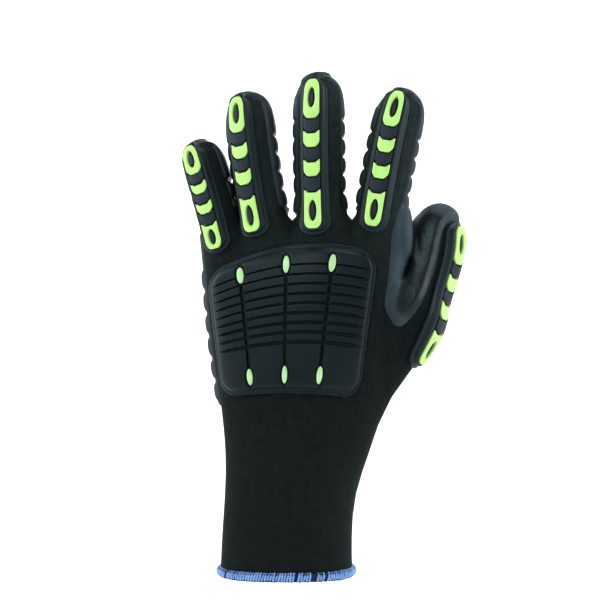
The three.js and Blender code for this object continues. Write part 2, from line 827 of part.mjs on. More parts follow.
const plateWide = plateCorners.topRight[0] - plateCorners.topLeft[0];
const plateTall = plateCorners.topLeft[1] - plateCorners.bottomLeft[1];
const plateCorner = plate.corner * palmLength;

const plateInside = [-1, -0.92, -0.6, -0.2, 0.2, 0.6, 0.92, 1];
const plateFloor = plateHeight - plateGrooveDepth;
const aboveAll = plateHeight + 2;

// Rows of the plate from its top edge to its foot, and whether each lies on the lip, the body or a groove's floor.
function plateRows() {
  const rim = plateRimWidth / plateTall;
  const bevel = 0.4 / plateTall;
  const corner = plateCorner / plateTall;
  const half = plateGrooveWidth / plateTall / 2;
  const edge = 0.1 / plateTall;
  const grooves = shares(plateGrooves.count - 1).flatMap((t) => {
    const b = THREE.MathUtils.lerp(plateGrooves.first, plateGrooves.last, t);
    return [
      { b: b - half - edge, on: "body", kept: t === 0 || t === 0.5 || t === 1 },
      { b: b - half + edge, on: "groove" },
      { b: b + half - edge, on: "groove" },
      { b: b + half + edge, on: "body" },
    ];
  });
  return [
    { b: 0, on: "lip" },
    { b: rim - bevel, on: "lip" },
    { b: rim + bevel, on: "body" },
    { b: corner * 0.75, on: "body", kept: true },
    ...grooves,
    { b: 0.78, on: "body", kept: true },
    { b: 1 - corner, on: "body", kept: true },
    { b: 1 - corner * 0.6, on: "body" },
    { b: 1 - rim - bevel, on: "body" },
    { b: 1 - rim + bevel, on: "lip" },
    { b: 1, on: "lip" },
  ];
}

const plateTops = { lip: plateFlange, body: plateHeight, groove: plateFloor };

function plateGrid() {
  return plateRows().reverse().map(({ b, on }) => {
    const outer = plateHalf(b, 0);
    const inner = plateHalf(b, plateRimWidth);
    const step = 0.8 / plateWide;
    const inside = plateInside.map((t) => t * (inner - step));
    const columns = [-outer, -inner - step, ...inside, inner + step, outer];
    const last = columns.length - 1;
    return columns.map((a, i) => {
      const fromSide = Math.min(i, last - i);
      if (fromSide < 2) return [a, b, plateFlange];
      return [a, b, on === "groove" && fromSide === 2 ? plateHeight : plateTops[on]];
    });
  });
}

const rowsKept = plateRows().reverse().map((row) => row.kept);
let backPlate = slab(platePoint, plateGrid(), plateLift, null, (_, r) => rowsKept[r]);
plateColumns.forEach((a, i) => {
  const half = plateSlotWidth / plateWide;
  const { top, bottom } = plateOvalRows;
  const at = (b) => a + plateColumnLean[i] * b;
  const rows = shares(2).map((t) => THREE.MathUtils.lerp(bottom, top, t));
  const slot = rows.map((b) => [at(b) - half, at(b) + half].map((x) => [x, b]));
  backPlate = backPlate.subtract(slab(platePoint, slot, plateFloor - 0.4, aboveAll));
  for (const [end, b] of Object.entries(plateOvalRows)) {
    const grid = (grow) =>
      oval(at(b), b, (2 * (plateOvalWidth + 2 * grow)) / plateWide, -(plateOvalLength + 2 * grow) / plateTall);
    const pocket = slab(platePoint, grid(gap + plateOvalRing), plateHeight - inlayDepth - gap, aboveAll);
    backPlate = backPlate.subtract(pocket);
    const side = ["left", "middle", "right"][i];
    const inlay = slab(platePoint, grid(0), plateHeight - inlayDepth, plateHeight + plateOvalProud);
    pieces.push([`plate_inlay_${end}_${side}`, inlay, "plateInlay"]);
  }
});
pieces.push(["back_plate", wholeOf(backPlate), "plate"]);

// Palm coating: a ribbed sleeve on each digit's palm side, a ribbed sheet over the palm, and the web of the thumb

// Rows of a ribbed sheet: where each row lies and how high its top stands. Pads are [from, to] pairs in order.
function ribbed(from, to, pads, skin, rise) {
  const flank = 0.35;
  const rows = [[from, skin]];
  for (const [low, high] of pads) {
    rows.push([low, skin], [low + flank, rise], [high - flank, rise], [high, skin]);
  }
  if (to !== null) rows.push([to, skin]);
  return rows;
}

const sleeveFoot = gap + 0.75;
const sleeveSkin = sleeveFoot + coatingSkin;
const sheetFoot = gap + 0.6;
const sheetSkin = sleeveSkin + 0.3;

function sleeve(name, digit) {
  const place = (u, v, h) => digitPoint(digit, u, v, h);
  const length = digit.spine.getLength();
  const { radius } = digit;
  const tipFrom = length - tipPadLength;
  const isThumb = name === "thumb";
  const wrap = Math.min(isThumb ? thumbPadWrap : fingerPadWrap, Math.PI - (guardWidth / 2 + guardRoom) / radius);
  const pads = shares(fingerPads[name] - 1).map((_, i) => {
    const high = tipFrom - (fingerPadPitch - fingerPadLength) - (fingerPads[name] - 1 - i) * fingerPadPitch;
    return [high - fingerPadLength, high];
  });
  const start = isThumb ? pads[0][0] - 1 : Math.min(pads[0][0], 0) - 4;
  const rows = ribbed(start, null, pads, sleeveSkin, sleeveFoot + fingerPadRise);
  rows.push([tipFrom, sleeveSkin], [tipFrom + 0.35, sleeveFoot + fingerPadRise]);
  const dome = length - radius;
  for (const angle of [-5, 22, 45, 66, 85]) rows.push([dome + angle * degrees * radius, sleeveFoot + fingerPadRise]);
  const grid = rows.map(([v, high], r) => {
    const root = isThumb ? 1 : THREE.MathUtils.clamp(0.45 + (v + 4) / 22, 0.45, 1);
    const half = wrap * radius * root;
    const columns = isThumb ? 8 : 6;
    return shares(columns).map((w) => [Math.PI * radius + (2 * w - 1) * half, v, high]);
  });
  return slab(place, grid, sleeveFoot, null, (_, r) => r % 4 === 0 || r > rows.length - 6);
}

// The body's cross-section at a height.
function sectionAt(z) {
  const above = Math.max(bodySections.findIndex((row) => row.z >= z), 1);
  const [low, high] = [bodySections[above - 1], bodySections[above]];
  const t = THREE.MathUtils.clamp((z - low.z) / (high.z - low.z), 0, 1);
  const mix = (key) => THREE.MathUtils.lerp(low[key], high[key], t);
  return { z, x: mix("x"), half: mix("half"), deep: mix("deep"), turn: mix("turn") };
}

// A place on the palm: share runs from -1, round the little finger's edge, to 1 at the edge of the coating
// on the thumb's side, and z is the height.
function palmPoint(share, z, h) {
  const section = sectionAt(z);
  const level = (z - cuffLength) / palmLength;
  const next = Math.max(palmEdge.findIndex(([l]) => l >= level), 1);
  const [low, high] = [palmEdge[next - 1], palmEdge[next]];
  const edge = palmWidth * THREE.MathUtils.mapLinear(level, low[0], high[0], low[1], high[1]);
  const turnFrom = -0.5;
  const left = section.x - 0.7 * section.half;
  const x = THREE.MathUtils.mapLinear(Math.max(share, turnFrom), turnFrom, 1, left, edge);
  const centre = new THREE.Vector3(x, -(x - section.x) * Math.tan(section.turn), z);
  const round = Math.max(turnFrom - share, 0) * 2.9;
  const way = new THREE.Vector3(-Math.sin(round), Math.cos(round), 0);
  return centre.addScaledVector(way, reachFrom(centre, way, section.deep) + h);
}

function palmSheet() {
  const lowest = bodyHeight(coatingFrom);
  const pads = Array.from({ length: palmPadRows }, (_, i) => {
    const low = lowest + palmPadsInset + i * palmPadPitch;
    return [low, low + palmPadLength];
  });
  const top = crotchHeight - coatingBelowCrotch;
  const rows = ribbed(lowest, top, pads, sheetSkin, sheetFoot + palmPadRise).reverse();
  const across = [-1, -0.83, -0.66, -0.5, -0.2, 0.15, 0.5, 0.8, 1];
  const grid = rows.map(([z, high]) => across.map((share) => [share, z, high]));
  return slab(palmPoint, grid, sheetFoot, null, (_, r) => r % 2 === 0);
}

// Prism along Y over an outline in the plane of the view.
function webPrism() {
  const outline = webEdge.map(([x, level]) => new THREE.Vector2(x * palmWidth, bodyHeight(level)));
  const faces = THREE.ShapeUtils.triangulateShape(outline, []);
  const n = outline.length;
  const points = [-1, 1].flatMap((side) => outline.map((p) => new THREE.Vector3(p.x, side * 2 * palmDepth, p.y)));
  const area = THREE.ShapeUtils.area(outline);
  const facing = area > 0 ? faces : faces.map(([a, b, c]) => [a, c, b]);
  const triangles = facing.flatMap(([a, b, c]) => [
    [a, b, c],
    [a + n, c + n, b + n],
  ]);
  outline.forEach((_, i) => {
    const [a, b] = area > 0 ? [i, (i + 1) % n] : [(i + 1) % n, i];
    triangles.push([b, a, a + n], [b, a + n, b + n]);
  });
  return solidOf(points, triangles);
}

const coatingParts = Object.entries(spines).map(([name, digit]) => sleeve(name, digit));
const web = closedBody(outside, sleeveSkin + 0.15, 0.5).subtract(keepOut).intersect(webPrism());

// Room that the plate and the thumb's guard take out of the coating beside them
function plateRoom() {
  const beside = (2 * plateClearance) / plateWide;
  const rows = [1, 0.75, 0.5, 0.25, 0.12, 0.03];
  const grid = rows.map((b) => {
    const half = plateHalf(b, 0) + beside;
    return [-1, -0.5, 0, 0.5, 1].map((t) => [t * half, b]);
  });
  return slab(platePoint, grid, 0, aboveAll + gap);
}

function thumbRoom() {
  const { spine } = spines.thumb;
  const [from, to] = guardSpans.thumb.map((share) => share * spine.getLength());
  const round = guardWidth / 2 + guardRoom - 2 * gap;
  const shape = strip({ from: from - gap, to: to + 2 * gap, half: round, roundFrom: round, roundTo: round });
  return slab((u, v, h) => digitPoint(spines.thumb, u, v, h), shape, 0, guardHeight + 2);
}

const covering = joined([palmSheet(), web, ...coatingParts]).subtract(keepOut);
const coating = wholeOf(covering.subtract(plateRoom()).subtract(thumbRoom()));
pieces.push(["palm_coating", coating, "coating"]);

// Band of stitches round the mouth of the cuff, folded over the shell's edge

function cuffBand() {
  const rim = rimOf(outside).map((a) => outside.points[a]);
  const centre = average(rim);
  const foot = bandFloor;
  const inner = wall + bandPlay + bandInside;
  const profile = [
    [bandOutside, 0.6],
    [bandOutside, bandHeight - 0.6],
    [gap + 0.1, bandHeight],
    [gap, foot],
    [-wall - bandPlay, foot],
    [-wall - bandPlay, bandHeight - 0.4],
    [-inner, bandHeight - 1],
    [-inner, 0.6],
    [-inner + 0.7, 0],
    [bandOutside - 0.7, 0],
  ];
  const n = profile.length;
  const points = rim.flatMap((point) => {
    const out = new THREE.Vector3(
      (point.x - centre.x) / (cuffWidth / 2) ** 2,
      (point.y - centre.y) / (cuffDepth / 2) ** 2,
      0,
    ).normalize();
    return profile.map(([r, z]) => point.clone().addScaledVector(out, r).setZ(z));
  });
  const triangles = [];
  rim.forEach((_, i) => {
    const j = (i + 1) % rim.length;
    for (let k = 0; k < n; k++) {
      const l = (k + 1) % n;
      const [a, b, c, d] = [i * n + k, j * n + k, j * n + l, i * n + l];
      triangles.push([a, b, c], [a, c, d]);
    }
  });
  return solidOf(points, triangles);
}
pieces.push(["cuff_band", cuffBand(), "band"]);

const materials = {
  knit: new THREE.MeshStandardMaterial({ color: 0x0b0e0e, roughness: 0.95, metalness: 0 }),
  coating: new THREE.MeshStandardMaterial({ color: 0x191c1f, roughness: 0.45, metalness: 0 }),
  guard: new THREE.MeshStandardMaterial({ color: 0x16191c, roughness: 0.5, metalness: 0 }),
  inlay: new THREE.MeshStandardMaterial({ color: 0x86d83a, roughness: 0.5, metalness: 0 }),
  plateInlay: new THREE.MeshStandardMaterial({ color: 0x7cc650, roughness: 0.5, metalness: 0 }),
  plate: new THREE.MeshStandardMaterial({ color: 0x1b2024, roughness: 0.55, metalness: 0 }),
  band: new THREE.MeshStandardMaterial({ color: 0x3a6bb5, roughness: 0.9, metalness: 0 }),
};

pieces.unshift(["knit_shell", shell, "knit"]);

const glove = new THREE.Group();
glove.name = "anti_vibration_glove";
for (const [name, solid, material] of pieces) {
  const mesh = new THREE.Mesh(geometryOf(solid), materials[material]);
  mesh.name = name;
  glove.add(mesh);
}

export default glove;
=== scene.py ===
import math

import bpy
import bmesh
import numpy as np
from mathutils import Matrix, Vector
from mathutils.bvhtree import BVHTree


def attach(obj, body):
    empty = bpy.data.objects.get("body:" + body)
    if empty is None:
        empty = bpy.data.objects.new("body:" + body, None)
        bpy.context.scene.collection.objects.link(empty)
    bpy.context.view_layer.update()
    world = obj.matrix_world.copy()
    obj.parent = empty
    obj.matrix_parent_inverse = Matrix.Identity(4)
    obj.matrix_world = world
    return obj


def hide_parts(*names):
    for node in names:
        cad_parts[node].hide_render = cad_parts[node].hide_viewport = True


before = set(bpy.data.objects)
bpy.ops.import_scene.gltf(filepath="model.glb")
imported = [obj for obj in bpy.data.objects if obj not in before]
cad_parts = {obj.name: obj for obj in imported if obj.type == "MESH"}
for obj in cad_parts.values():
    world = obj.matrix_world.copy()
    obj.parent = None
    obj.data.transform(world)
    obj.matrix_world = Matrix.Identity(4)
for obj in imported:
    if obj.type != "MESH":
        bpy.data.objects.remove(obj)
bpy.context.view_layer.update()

METRE = 0.001
DEGREE = math.pi / 180

# Cuff and palm
CUFF_LENGTH = 64
CUFF_WIDTH = 67.4
CUFF_DEPTH = 47
PALM_LENGTH = 110
PALM_WIDTH = 108
PALM_DEPTH = 38
PALM_TURN = 11
SQUARENESS = 2.4
WALL = 1.8
GAP = 0.3

# Digits
THUMB_LENGTH = 97
THUMB_WIDTH = 24.5
THUMB_DEPTH = 23
THUMB_BACK_TURN = 55
CROTCH_ABOVE = 8
CROTCH_HEIGHT = CUFF_LENGTH + PALM_LENGTH + CROTCH_ABOVE
KNUCKLE_DIP = 1

# Guards and inlays
GUARD_WIDTH = 14.4
GUARD_FLANGE = 1.9
GUARD_RIDGE_WIDTH = 10.4
GUARD_HEIGHT = 4
INLAY_WIDTH = 6.4
INLAY_DEPTH = 1.5
INLAY_PROUD = 0.5
OVAL_WIDTH = 3.1
OVAL_LENGTH = 10.2

# Back plate
PLATE_HEIGHT = 4.6
PLATE_FLANGE = 2.2
PLATE_RIM = 2.4
PLATE_OVAL = (3.2, 7.2)
PLATE_OVAL_RING = 0.9
PLATE_OVAL_PROUD = 0.4
PLATE_GROOVE_DEPTH = 1.8
PLATE_SLOT_DEPTH = 2.2
PLATE_RING_DEPTH = 1.7
PLATE_SWELL = 0.3
PLATE_SLOT = 0.8
# How much further the ovals lean than their column does
PLATE_OVAL_LEAN = 1.4

# Coating and its pads
COATING_SKIN = 0.9
SLEEVE_FOOT = GAP + 0.75
FINGER_PAD_RISE = 2.1
FINGER_PAD_PITCH = 9.4
FINGER_PAD_LENGTH = 8.1
TIP_PAD_LENGTH = 22
PALM_PAD_RISE = 3.1
PALM_PAD_PITCH = 11.5
PALM_PAD_LENGTH = 9.6
PALM_PAD_ROWS = 6
# How far above the coating's lower edge its pads start, at what share of the palm's length that edge
# lies, and how far below the crotches of the fingers the palm's sheet ends
PALM_PADS_INSET = 2.5
COATING_FROM = 0.2
COATING_BELOW_CROTCH = 6
FINGER_PAD_WRAP = 1.75
THUMB_PAD_WRAP = 2.45
ROOT_WRAP = 0.8
THUMB_ROOT_WRAP = 1.3
WEB_SWELL = 2.4
FINGER_PADS = {"little": 3, "ring": 5, "middle": 5, "index": 5, "thumb": 3}
# How far the coating is pressed in beside a finger, towards the little finger and towards the thumb
PRESSED = {"little": (0, 1.4), "middle": (0, 1.3), "index": (1.2, 0.3)}
# How much further the coating reaches round a finger on its little-finger side
WIDER = {"index": 0.17, "middle": 0.1}

# Band of stitches
BAND_HEIGHT = 5.4
BAND_OUTSIDE = 2.2
BAND_INSIDE = 1.2
BAND_PLAY = 0.8
BAND_FLOOR = 2

# Sections: height, width, depth, shift, turn, and for the palm also the valley between knuckles and how far
# the columns have moved under their fingers.
CUFF_SECTIONS = [
    (0, 1, 1, 0, 0),
    (0.28, 0.985, 0.98, 0.004, 0),
    (0.64, 0.995, 0.96, 0.03, 0),
    (1, 1.1, 0.93, 0.085, 0.2),
]
PALM_SECTIONS = [
    (0.25, 0.81, 1.06, 0.088, 0.4, 0, 0.1),
    (0.5, 0.866, 0.98, 0.075, 0.7, 0, 0.5),
    (0.78, 0.926, 0.86, 0.074, 0.95, 0.02, 0.9),
    (0.89, 0.95, 0.76, 0.075, 1, 0.08, 1),
    (0.97, 0.97, 0.67, 0.076, 1, 0.2, 1),
]
THUMB_ROOT_SECTION = 4
THUMB_WEB_SECTION = 6
KNUCKLE_COLUMNS = [-0.93, -0.8, -0.615, -0.36, -0.1, 0.2, 0.49, 0.74, 0.93]

# Fingers: length, width, depth, lean, bow, flex, turn
FINGERS = {
    "little": (46, 19.8, 18.5, -13.5, 0.5, 8, 26),
    "ring": (71, 22.2, 20.5, -10.4, -1.4, 8, 25),
    "middle": (80.5, 23, 21.5, -1.2, -0.6, 7, 18),
    "index": (71.5, 22.6, 21, 14, -1, 6, 15),
}
FINGER_SECTIONS = [(0.2, 1.02), (0.42, 1), (0.64, 0.99), (0.83, 0.95), (0.945, 0.7)]
# Thumb sections: along, out, half, deep, to the palm, tilt
THUMB_SECTIONS = [
    (0.46, 0.14, 0.78, 0.62, 0.04, 68),
    (0.58, 0.182, 0.6, 0.55, 0.12, 54),
    (0.7, 0.215, 0.52, 0.51, 0.2, 35),
    (0.83, 0.242, 0.49, 0.49, 0.26, 14.5),
    (0.945, 0.258, 0.35, 0.35, 0.3, 3),
]
THUMB_TIP = (1, 0.258, 0.3)
# How much higher the knitting's map runs for each millimetre of the thumb
THUMB_RISE = 0.8
THUMB_SPINE = [(0.1, 0, 0), (0.46, 0.14, 0.06), (0.7, 0.215, 0.2), (0.985, 0.258, 0.3)]
GUARD_SPANS = {
    "little": (-0.18, 0.96),
    "ring": (-0.01, 0.98),
    "middle": (-0.01, 0.97),
    "index": (0, 0.985),
    "thumb": (0.095, 0.93),
}
# Inlays: name, from, to, and where the oval hole is, as shares of the guard's length
INLAY_ROWS = [
    ("root", 0.045, 0.285, 0.155),
    ("low", 0.365, 0.47, None),
    ("high", 0.545, 0.65, None),
    ("tip", 0.725, 0.965, 0.855),
]
PLATE_CORNERS = {
    "top_left": (-0.37, 0.814),
    "top_right": (0.418, 0.915),
    "bottom_right": (0.325, 0.25),
    "bottom_left": (-0.293, 0.25),
}
PLATE_TOP_RISE = 0.087
PLATE_BOTTOM_RISE = 0.025
PLATE_CORNER = 0.085 * PALM_LENGTH
PLATE_COLUMNS = [(-0.6, 0.057), (-0.058, -0.02), (0.49, -0.093)]
PLATE_OVAL_ROWS = {"top": 0.13, "bottom": 0.87}
PLATE_GROOVES = (9, 0.139, 0.653)
PALM_EDGE = [(0.1, 0.44), (0.28, 0.49), (0.4, 0.57), (0.52, 0.59), (0.64, 0.53), (0.75, 0.48), (1.1, 0.46)]
WEB_EDGE = [
    (0.64, 1.25),
    (0.572, 1.185),
    (0.535, 1.13),
    (0.489, 1.009),
    (0.484, 0.85),
    (0.463, 0.717),
    (0.453, 0.664),
    (0.512, 0.566),
    (0.569, 0.606),
    (0.635, 0.694),
    (0.673, 0.787),
    (0.706, 0.893),
    (0.733, 1.037),
    (0.776, 1.063),
    (0.815, 1.046),
    (0.95, 1.046),
    (0.95, 1.25),
]


def level(share):
    return CUFF_LENGTH + share * PALM_LENGTH


COATING_LOWEST = level(COATING_FROM)


def unit(vectors):
    length = np.linalg.norm(vectors, axis=-1, keepdims=True)
    return vectors / np.maximum(length, 1e-9)


def smooth(t):
    t = np.clip(t, 0, 1)
    return t * t * (3 - 2 * t)


# Smooth surfaces over a cage of four-sided faces


def edges_of(quads):
    pairs = np.stack([quads, np.roll(quads, -1, 1)], 2).reshape(-1, 2)
    edges, index, count = np.unique(np.sort(pairs, 1), axis=0, return_inverse=True, return_counts=True)
    return edges, index.reshape(-1, 4), count == 1


def rim_sums(points, edges, rim):
    """Which points lie on the open rim, and the sum of each one's two neighbours there."""
    sums = np.zeros_like(points)
    for a, b in ((0, 1), (1, 0)):
        np.add.at(sums, edges[rim, a], points[edges[rim, b]])
    on_rim = np.zeros(len(points), bool)
    on_rim[edges[rim].ravel()] = True
    return on_rim, sums


def refine(points, quads, uvs):
    """One Catmull-Clark step that keeps each face's own turn."""
    edges, index, rim = edges_of(quads)
    middles = points[quads].mean(1)
    ends = points[edges].sum(1)
    beside = np.zeros_like(ends)
    np.add.at(beside, index.ravel(), np.repeat(middles, 4, 0))
    edge_points = np.where(rim[:, None], ends / 2, (ends + beside) / 4)
    valence = np.maximum(np.bincount(quads.ravel(), minlength=len(points)), 1)[:, None]
    around = np.zeros_like(points)
    np.add.at(around, quads.ravel(), np.repeat(middles, 4, 0))
    halves = np.zeros_like(points)
    np.add.at(halves, edges.ravel(), np.repeat(ends / 2, 2, 0))
    inner = (around / valence + 2 * halves / valence + (valence - 3) * points) / valence
    on_rim, sums = rim_sums(points, edges, rim)
    moved = np.where(on_rim[:, None], (6 * points + sums) / 8, inner)
    e = len(points) + index
    f = len(points) + len(edges) + np.arange(len(quads))
    a, b, c, d = quads.T
    children = [
        [a, e[:, 0], f, e[:, 3]],
        [e[:, 0], b, e[:, 1], f],
        [f, e[:, 1], c, e[:, 2]],
        [e[:, 3], f, e[:, 2], d],
    ]
    finer = np.concatenate([np.stack(child, 1) for child in children])
    ua, ub, uc, ud = uvs.transpose(1, 0, 2)
    centre = uvs.mean(1)
    ab, bc, cd, da = (ua + ub) / 2, (ub + uc) / 2, (uc + ud) / 2, (ud + ua) / 2
    parts = [[ua, ab, centre, da], [ab, ub, bc, centre], [centre, bc, uc, cd], [da, centre, cd, ud]]
    finer_uvs = np.concatenate([np.stack(part, 1) for part in parts])
    return np.concatenate([moved, edge_points, middles]), finer, finer_uvs


def limit_of(points, quads):
    """Each point's place on the smooth surface that endless refining would give."""
    edges, _, rim = edges_of(quads)
    k = np.maximum(np.bincount(quads.ravel(), minlength=len(points)), 1)[:, None]
    near = np.zeros_like(points)
    for a, b in ((0, 1), (1, 0)):
        np.add.at(near, edges[:, a], points[edges[:, b]])
    across = np.zeros_like(points)
    np.add.at(across, quads.ravel(), points[np.roll(quads, 2, 1)].reshape(-1, 3))
    inner = (k * k * points + 4 * near + across) / (k * (k + 5))
    on_rim, sums = rim_sums(points, edges, rim)
    return np.where(on_rim[:, None], (4 * points + sums) / 6, inner)


def normals_of(points, quads):
    """Outward normals at the points."""
    a, b, c, d = (points[quads[:, i]] for i in range(4))
    face = np.cross(c - a, d - b)
    sums = np.zeros_like(points)
    for i in range(4):
        np.add.at(sums, quads[:, i], face)
    return unit(sums)


# The cage of the glove


def body_sections():
    rows = []
    for height, width, depth, shift, turn in CUFF_SECTIONS:
        z = BAND_FLOOR + GAP + height * (CUFF_LENGTH - BAND_FLOOR - GAP)
        rows.append((z, width * CUFF_WIDTH / 2, depth * CUFF_DEPTH / 2, shift * CUFF_WIDTH, turn, 0, 0))
    for height, width, depth, shift, turn, valley, knuckled in PALM_SECTIONS:
        half, deep = width * PALM_WIDTH / 2, depth * PALM_DEPTH / 2
        rows.append((level(height), half, deep, shift * PALM_WIDTH, turn, valley, knuckled))
    keys = ("z", "half", "deep", "x", "turn", "valley", "knuckled")
    sections = [dict(zip(keys, row)) for row in rows]
    for section in sections:
        section["turn"] *= PALM_TURN * DEGREE
    return sections


SECTIONS = body_sections()


def body_point(section, share, side):
    across = share * section["half"]
    depth = section["deep"] * (1 - abs(share) ** SQUARENESS) ** (1 / SQUARENESS)
    back = side * depth
    cos, sin = math.cos(section["turn"]), math.sin(section["turn"])
    return np.array([section["x"] + across * cos - back * sin, -across * sin - back * cos, section["z"]])


def body_ring(section, last):
    """The cage's points round the hand at one section: over the back, then over the palm."""
    columns = len(KNUCKLE_COLUMNS)

    def side(way):
        points = []
        for k, knuckle in enumerate(KNUCKLE_COLUMNS):
            even = -math.cos((k + 1) * math.pi / (columns + 1))
            share = even + (knuckle - even) * section["knuckled"]
            between = k % 2 == 0 and 0 < k < columns - 1
            point = body_point(section, share, way * (1 - section["valley"] if between else 1))
            if last and not between:
                point[2] -= KNUCKLE_DIP
            points.append(point)
        return points

    return [body_point(section, -1, 1), *side(1), body_point(section, 1, 1), *side(-1)[::-1]]


class Spine:
    """A smooth line through a few points, read by its share of the line's length."""

    def __init__(self, knots, per=24):
        k = np.array(knots, float)
        k = np.vstack([2 * k[0] - k[1], k, 2 * k[-1] - k[-2]])
        line = []
        for i in range(1, len(k) - 2):
            p0, p1, p2, p3 = k[i - 1 : i + 3]
            t0, t1, t2 = (math.sqrt(np.linalg.norm(b - a)) for a, b in ((p0, p1), (p1, p2), (p2, p3)))
            m1 = ((p1 - p0) / t0 - (p2 - p0) / (t0 + t1) + (p2 - p1) / t1) * t1
            m2 = ((p2 - p1) / t1 - (p3 - p1) / (t1 + t2) + (p3 - p2) / t2) * t1
            for t in np.arange(per) / per:
                line.append(
                    (2 * t**3 - 3 * t**2 + 1) * p1
                    + (t**3 - 2 * t**2 + t) * m1
                    + (3 * t**2 - 2 * t**3) * p2
                    + (t**3 - t**2) * m2
                )
        self.line = np.array([*line, k[-2]])
        steps = np.linalg.norm(np.diff(self.line, axis=0), axis=1)
        self.walked = np.concatenate([[0], np.cumsum(steps)])
        self.length = self.walked[-1]

    def at(self, share):
        walked = np.asarray(share) * self.length
        return np.stack([np.interp(walked, self.walked, self.line[:, i]) for i in range(3)], -1)

    def tangent(self, share):
        a, b = max(share - 0.01, 0), min(share + 0.01, 1)
        return unit(self.at(b) - self.at(a))


def cross_axes(spine, share, turn):
    tangent = spine.tangent(min(max(share, 0), 1))
    back = np.array([-math.sin(turn), -math.cos(turn), 0])
    back = unit(back - back.dot(tangent) * tangent)
    return tangent, back, np.cross(tangent, back)


def thumb_point(root, along, out, to_palm):
    return root + np.array([out * THUMB_LENGTH, to_palm * THUMB_DEPTH, along * THUMB_LENGTH])


EIGHT = [i * math.pi / 4 for i in range(8)]


def make_cage():
    """The glove's cage: rings of the cuff and palm, then a tube for each digit. Each face's own map runs
    with the wales of the knitting one way and along the hand the other."""
    points, quads, uvs, digits = [], [], [], {}

    def add(point):
        points.append(np.array(point, float))
        return len(points) - 1

    rings = [[add(p) for p in body_ring(row, row is SECTIONS[-1])] for row in SECTIONS]
    around, columns = len(rings[0]), len(KNUCKLE_COLUMNS)
    edge = columns + 1
    for j, (ring, above) in enumerate(zip(rings, rings[1:])):
        low, high = SECTIONS[j]["z"], SECTIONS[j + 1]["z"]
        for k in range(around):
            if THUMB_ROOT_SECTION <= j < THUMB_WEB_SECTION and k in (edge - 1, edge):
                continue
            n = (k + 1) % around
            quads.append([ring[k], ring[n], above[n], above[k]])
            uvs.append([(k, low), (k + 1, low), (k + 1, high), (k, high)])

    def tube(base, circles, tip, heights):
        below = base
        for circle, low, high in zip(circles, heights, heights[1:]):
            here = [add(p) for p in circle]
            for i in range(8):
                n = (i + 1) % 8
                quads.append([below[i], below[n], here[n], here[i]])
                uvs.append([(i, low), (i + 1, low), (i + 1, high), (i, high)])
            below = here
        top = add(tip)
        low, high = heights[-2:]
        for i in range(0, 8, 2):
            quads.append([below[i], below[i + 1], below[(i + 2) % 8], top])
            uvs.append([(i, low), (i + 1, low), (i + 2, low), (i + 1, high)])

    top = rings[-1]
    crotches = [top[0]]
    for k in range(2, columns - 1, 2):
        middle = (points[top[k + 1]] + points[top[around - 1 - k]]) / 2
        middle[2] = CROTCH_HEIGHT
        crotches.append(add(middle))
    crotches.append(top[edge])
    for i, (name, (length, width, depth, lean, bow, flex, turn)) in enumerate(FINGERS.items()):
        back = [top[k + 1] for k in (2 * i, 2 * i + 1, 2 * i + 2)]
        front = [top[around - 1 - k] for k in (2 * i + 2, 2 * i + 1, 2 * i)]
        base = [crotches[i], *back, crotches[i + 1], *front]
        root = np.mean([points[a] for a in base], 0)
        root[2] = level(1)
        steps = [s / 8 for s in range(9)]
        spine = Spine([root + (lean * s + 4 * bow * s * (1 - s), flex * s * s, length * s) for s in steps])
        circles = []
        for along, size in FINGER_SECTIONS:
            centre = spine.at(along)
            _, out, across = cross_axes(spine, along, turn * DEGREE)
            half, deep = size * width / 2, size * depth / 2
            circles.append([centre - math.cos(t) * half * across + math.sin(t) * deep * out for t in EIGHT])
        heights = [level(1) + along * length for along, _ in FINGER_SECTIONS]
        tube(base, circles, spine.at(1), [SECTIONS[-1]["z"], *heights, level(1) + length])
        digits[name] = {"spine": spine, "turn": turn * DEGREE, "radius": (width + depth) / 4}

    low, middle, high = rings[THUMB_ROOT_SECTION : THUMB_WEB_SECTION + 1]
    base = [low[edge], low[edge + 1], middle[edge + 1], high[edge + 1], high[edge]]
    base += [high[edge - 1], middle[edge - 1], low[edge - 1]]
    root = points[low[edge]]
    circles = []
    for along, out, half, deep, to_palm, tilt in THUMB_SECTIONS:
        centre = thumb_point(root, along, out, to_palm)
        lean = np.array([math.cos(tilt * DEGREE), 0, -math.sin(tilt * DEGREE)])
        palm = np.array([0, 1, 0])
        wide, thick = half * THUMB_WIDTH * lean, deep * THUMB_DEPTH * palm
        circles.append([centre + math.cos(t) * wide + math.sin(t) * thick for t in EIGHT])
    shares = [0, *(row[0] for row in THUMB_SECTIONS), 1]
    heights = [root[2] + share * THUMB_LENGTH * THUMB_RISE for share in shares]
    tube(base, circles, thumb_point(root, *THUMB_TIP), heights)
    digits["thumb"] = {
        "spine": Spine([thumb_point(root, *row) for row in THUMB_SPINE]),
        "turn": -THUMB_BACK_TURN * DEGREE,
        "radius": (THUMB_WIDTH + THUMB_DEPTH) / 4,
    }
    points, quads, uvs = np.array(points), np.array(quads), np.array(uvs, float)
    fitted = points.copy()
    for _ in range(3):
        fitted = fitted + points - limit_of(fitted, quads)
    return fitted, quads, uvs, digits


cage, cage_quads, cage_uvs, DIGITS = make_cage()
levels = [(cage, cage_quads, cage_uvs)]
for _ in range(4):
    levels.append(refine(*levels[-1]))

SKIN = BVHTree.FromPolygons(limit_of(levels[3][0], levels[3][1]).tolist(), levels[3][1].tolist())


def surface_from(origins, ways, fallback, furthest=1e9):
    """The points where rays from inside or outside first meet the glove's outside."""
    found = np.empty(len(origins))
    for i, (origin, way) in enumerate(zip(origins.tolist(), ways.tolist())):
        distance = SKIN.ray_cast(origin, way)[3]
        found[i] = fallback if distance is None else min(distance, furthest)
    return origins + ways * found[:, None]


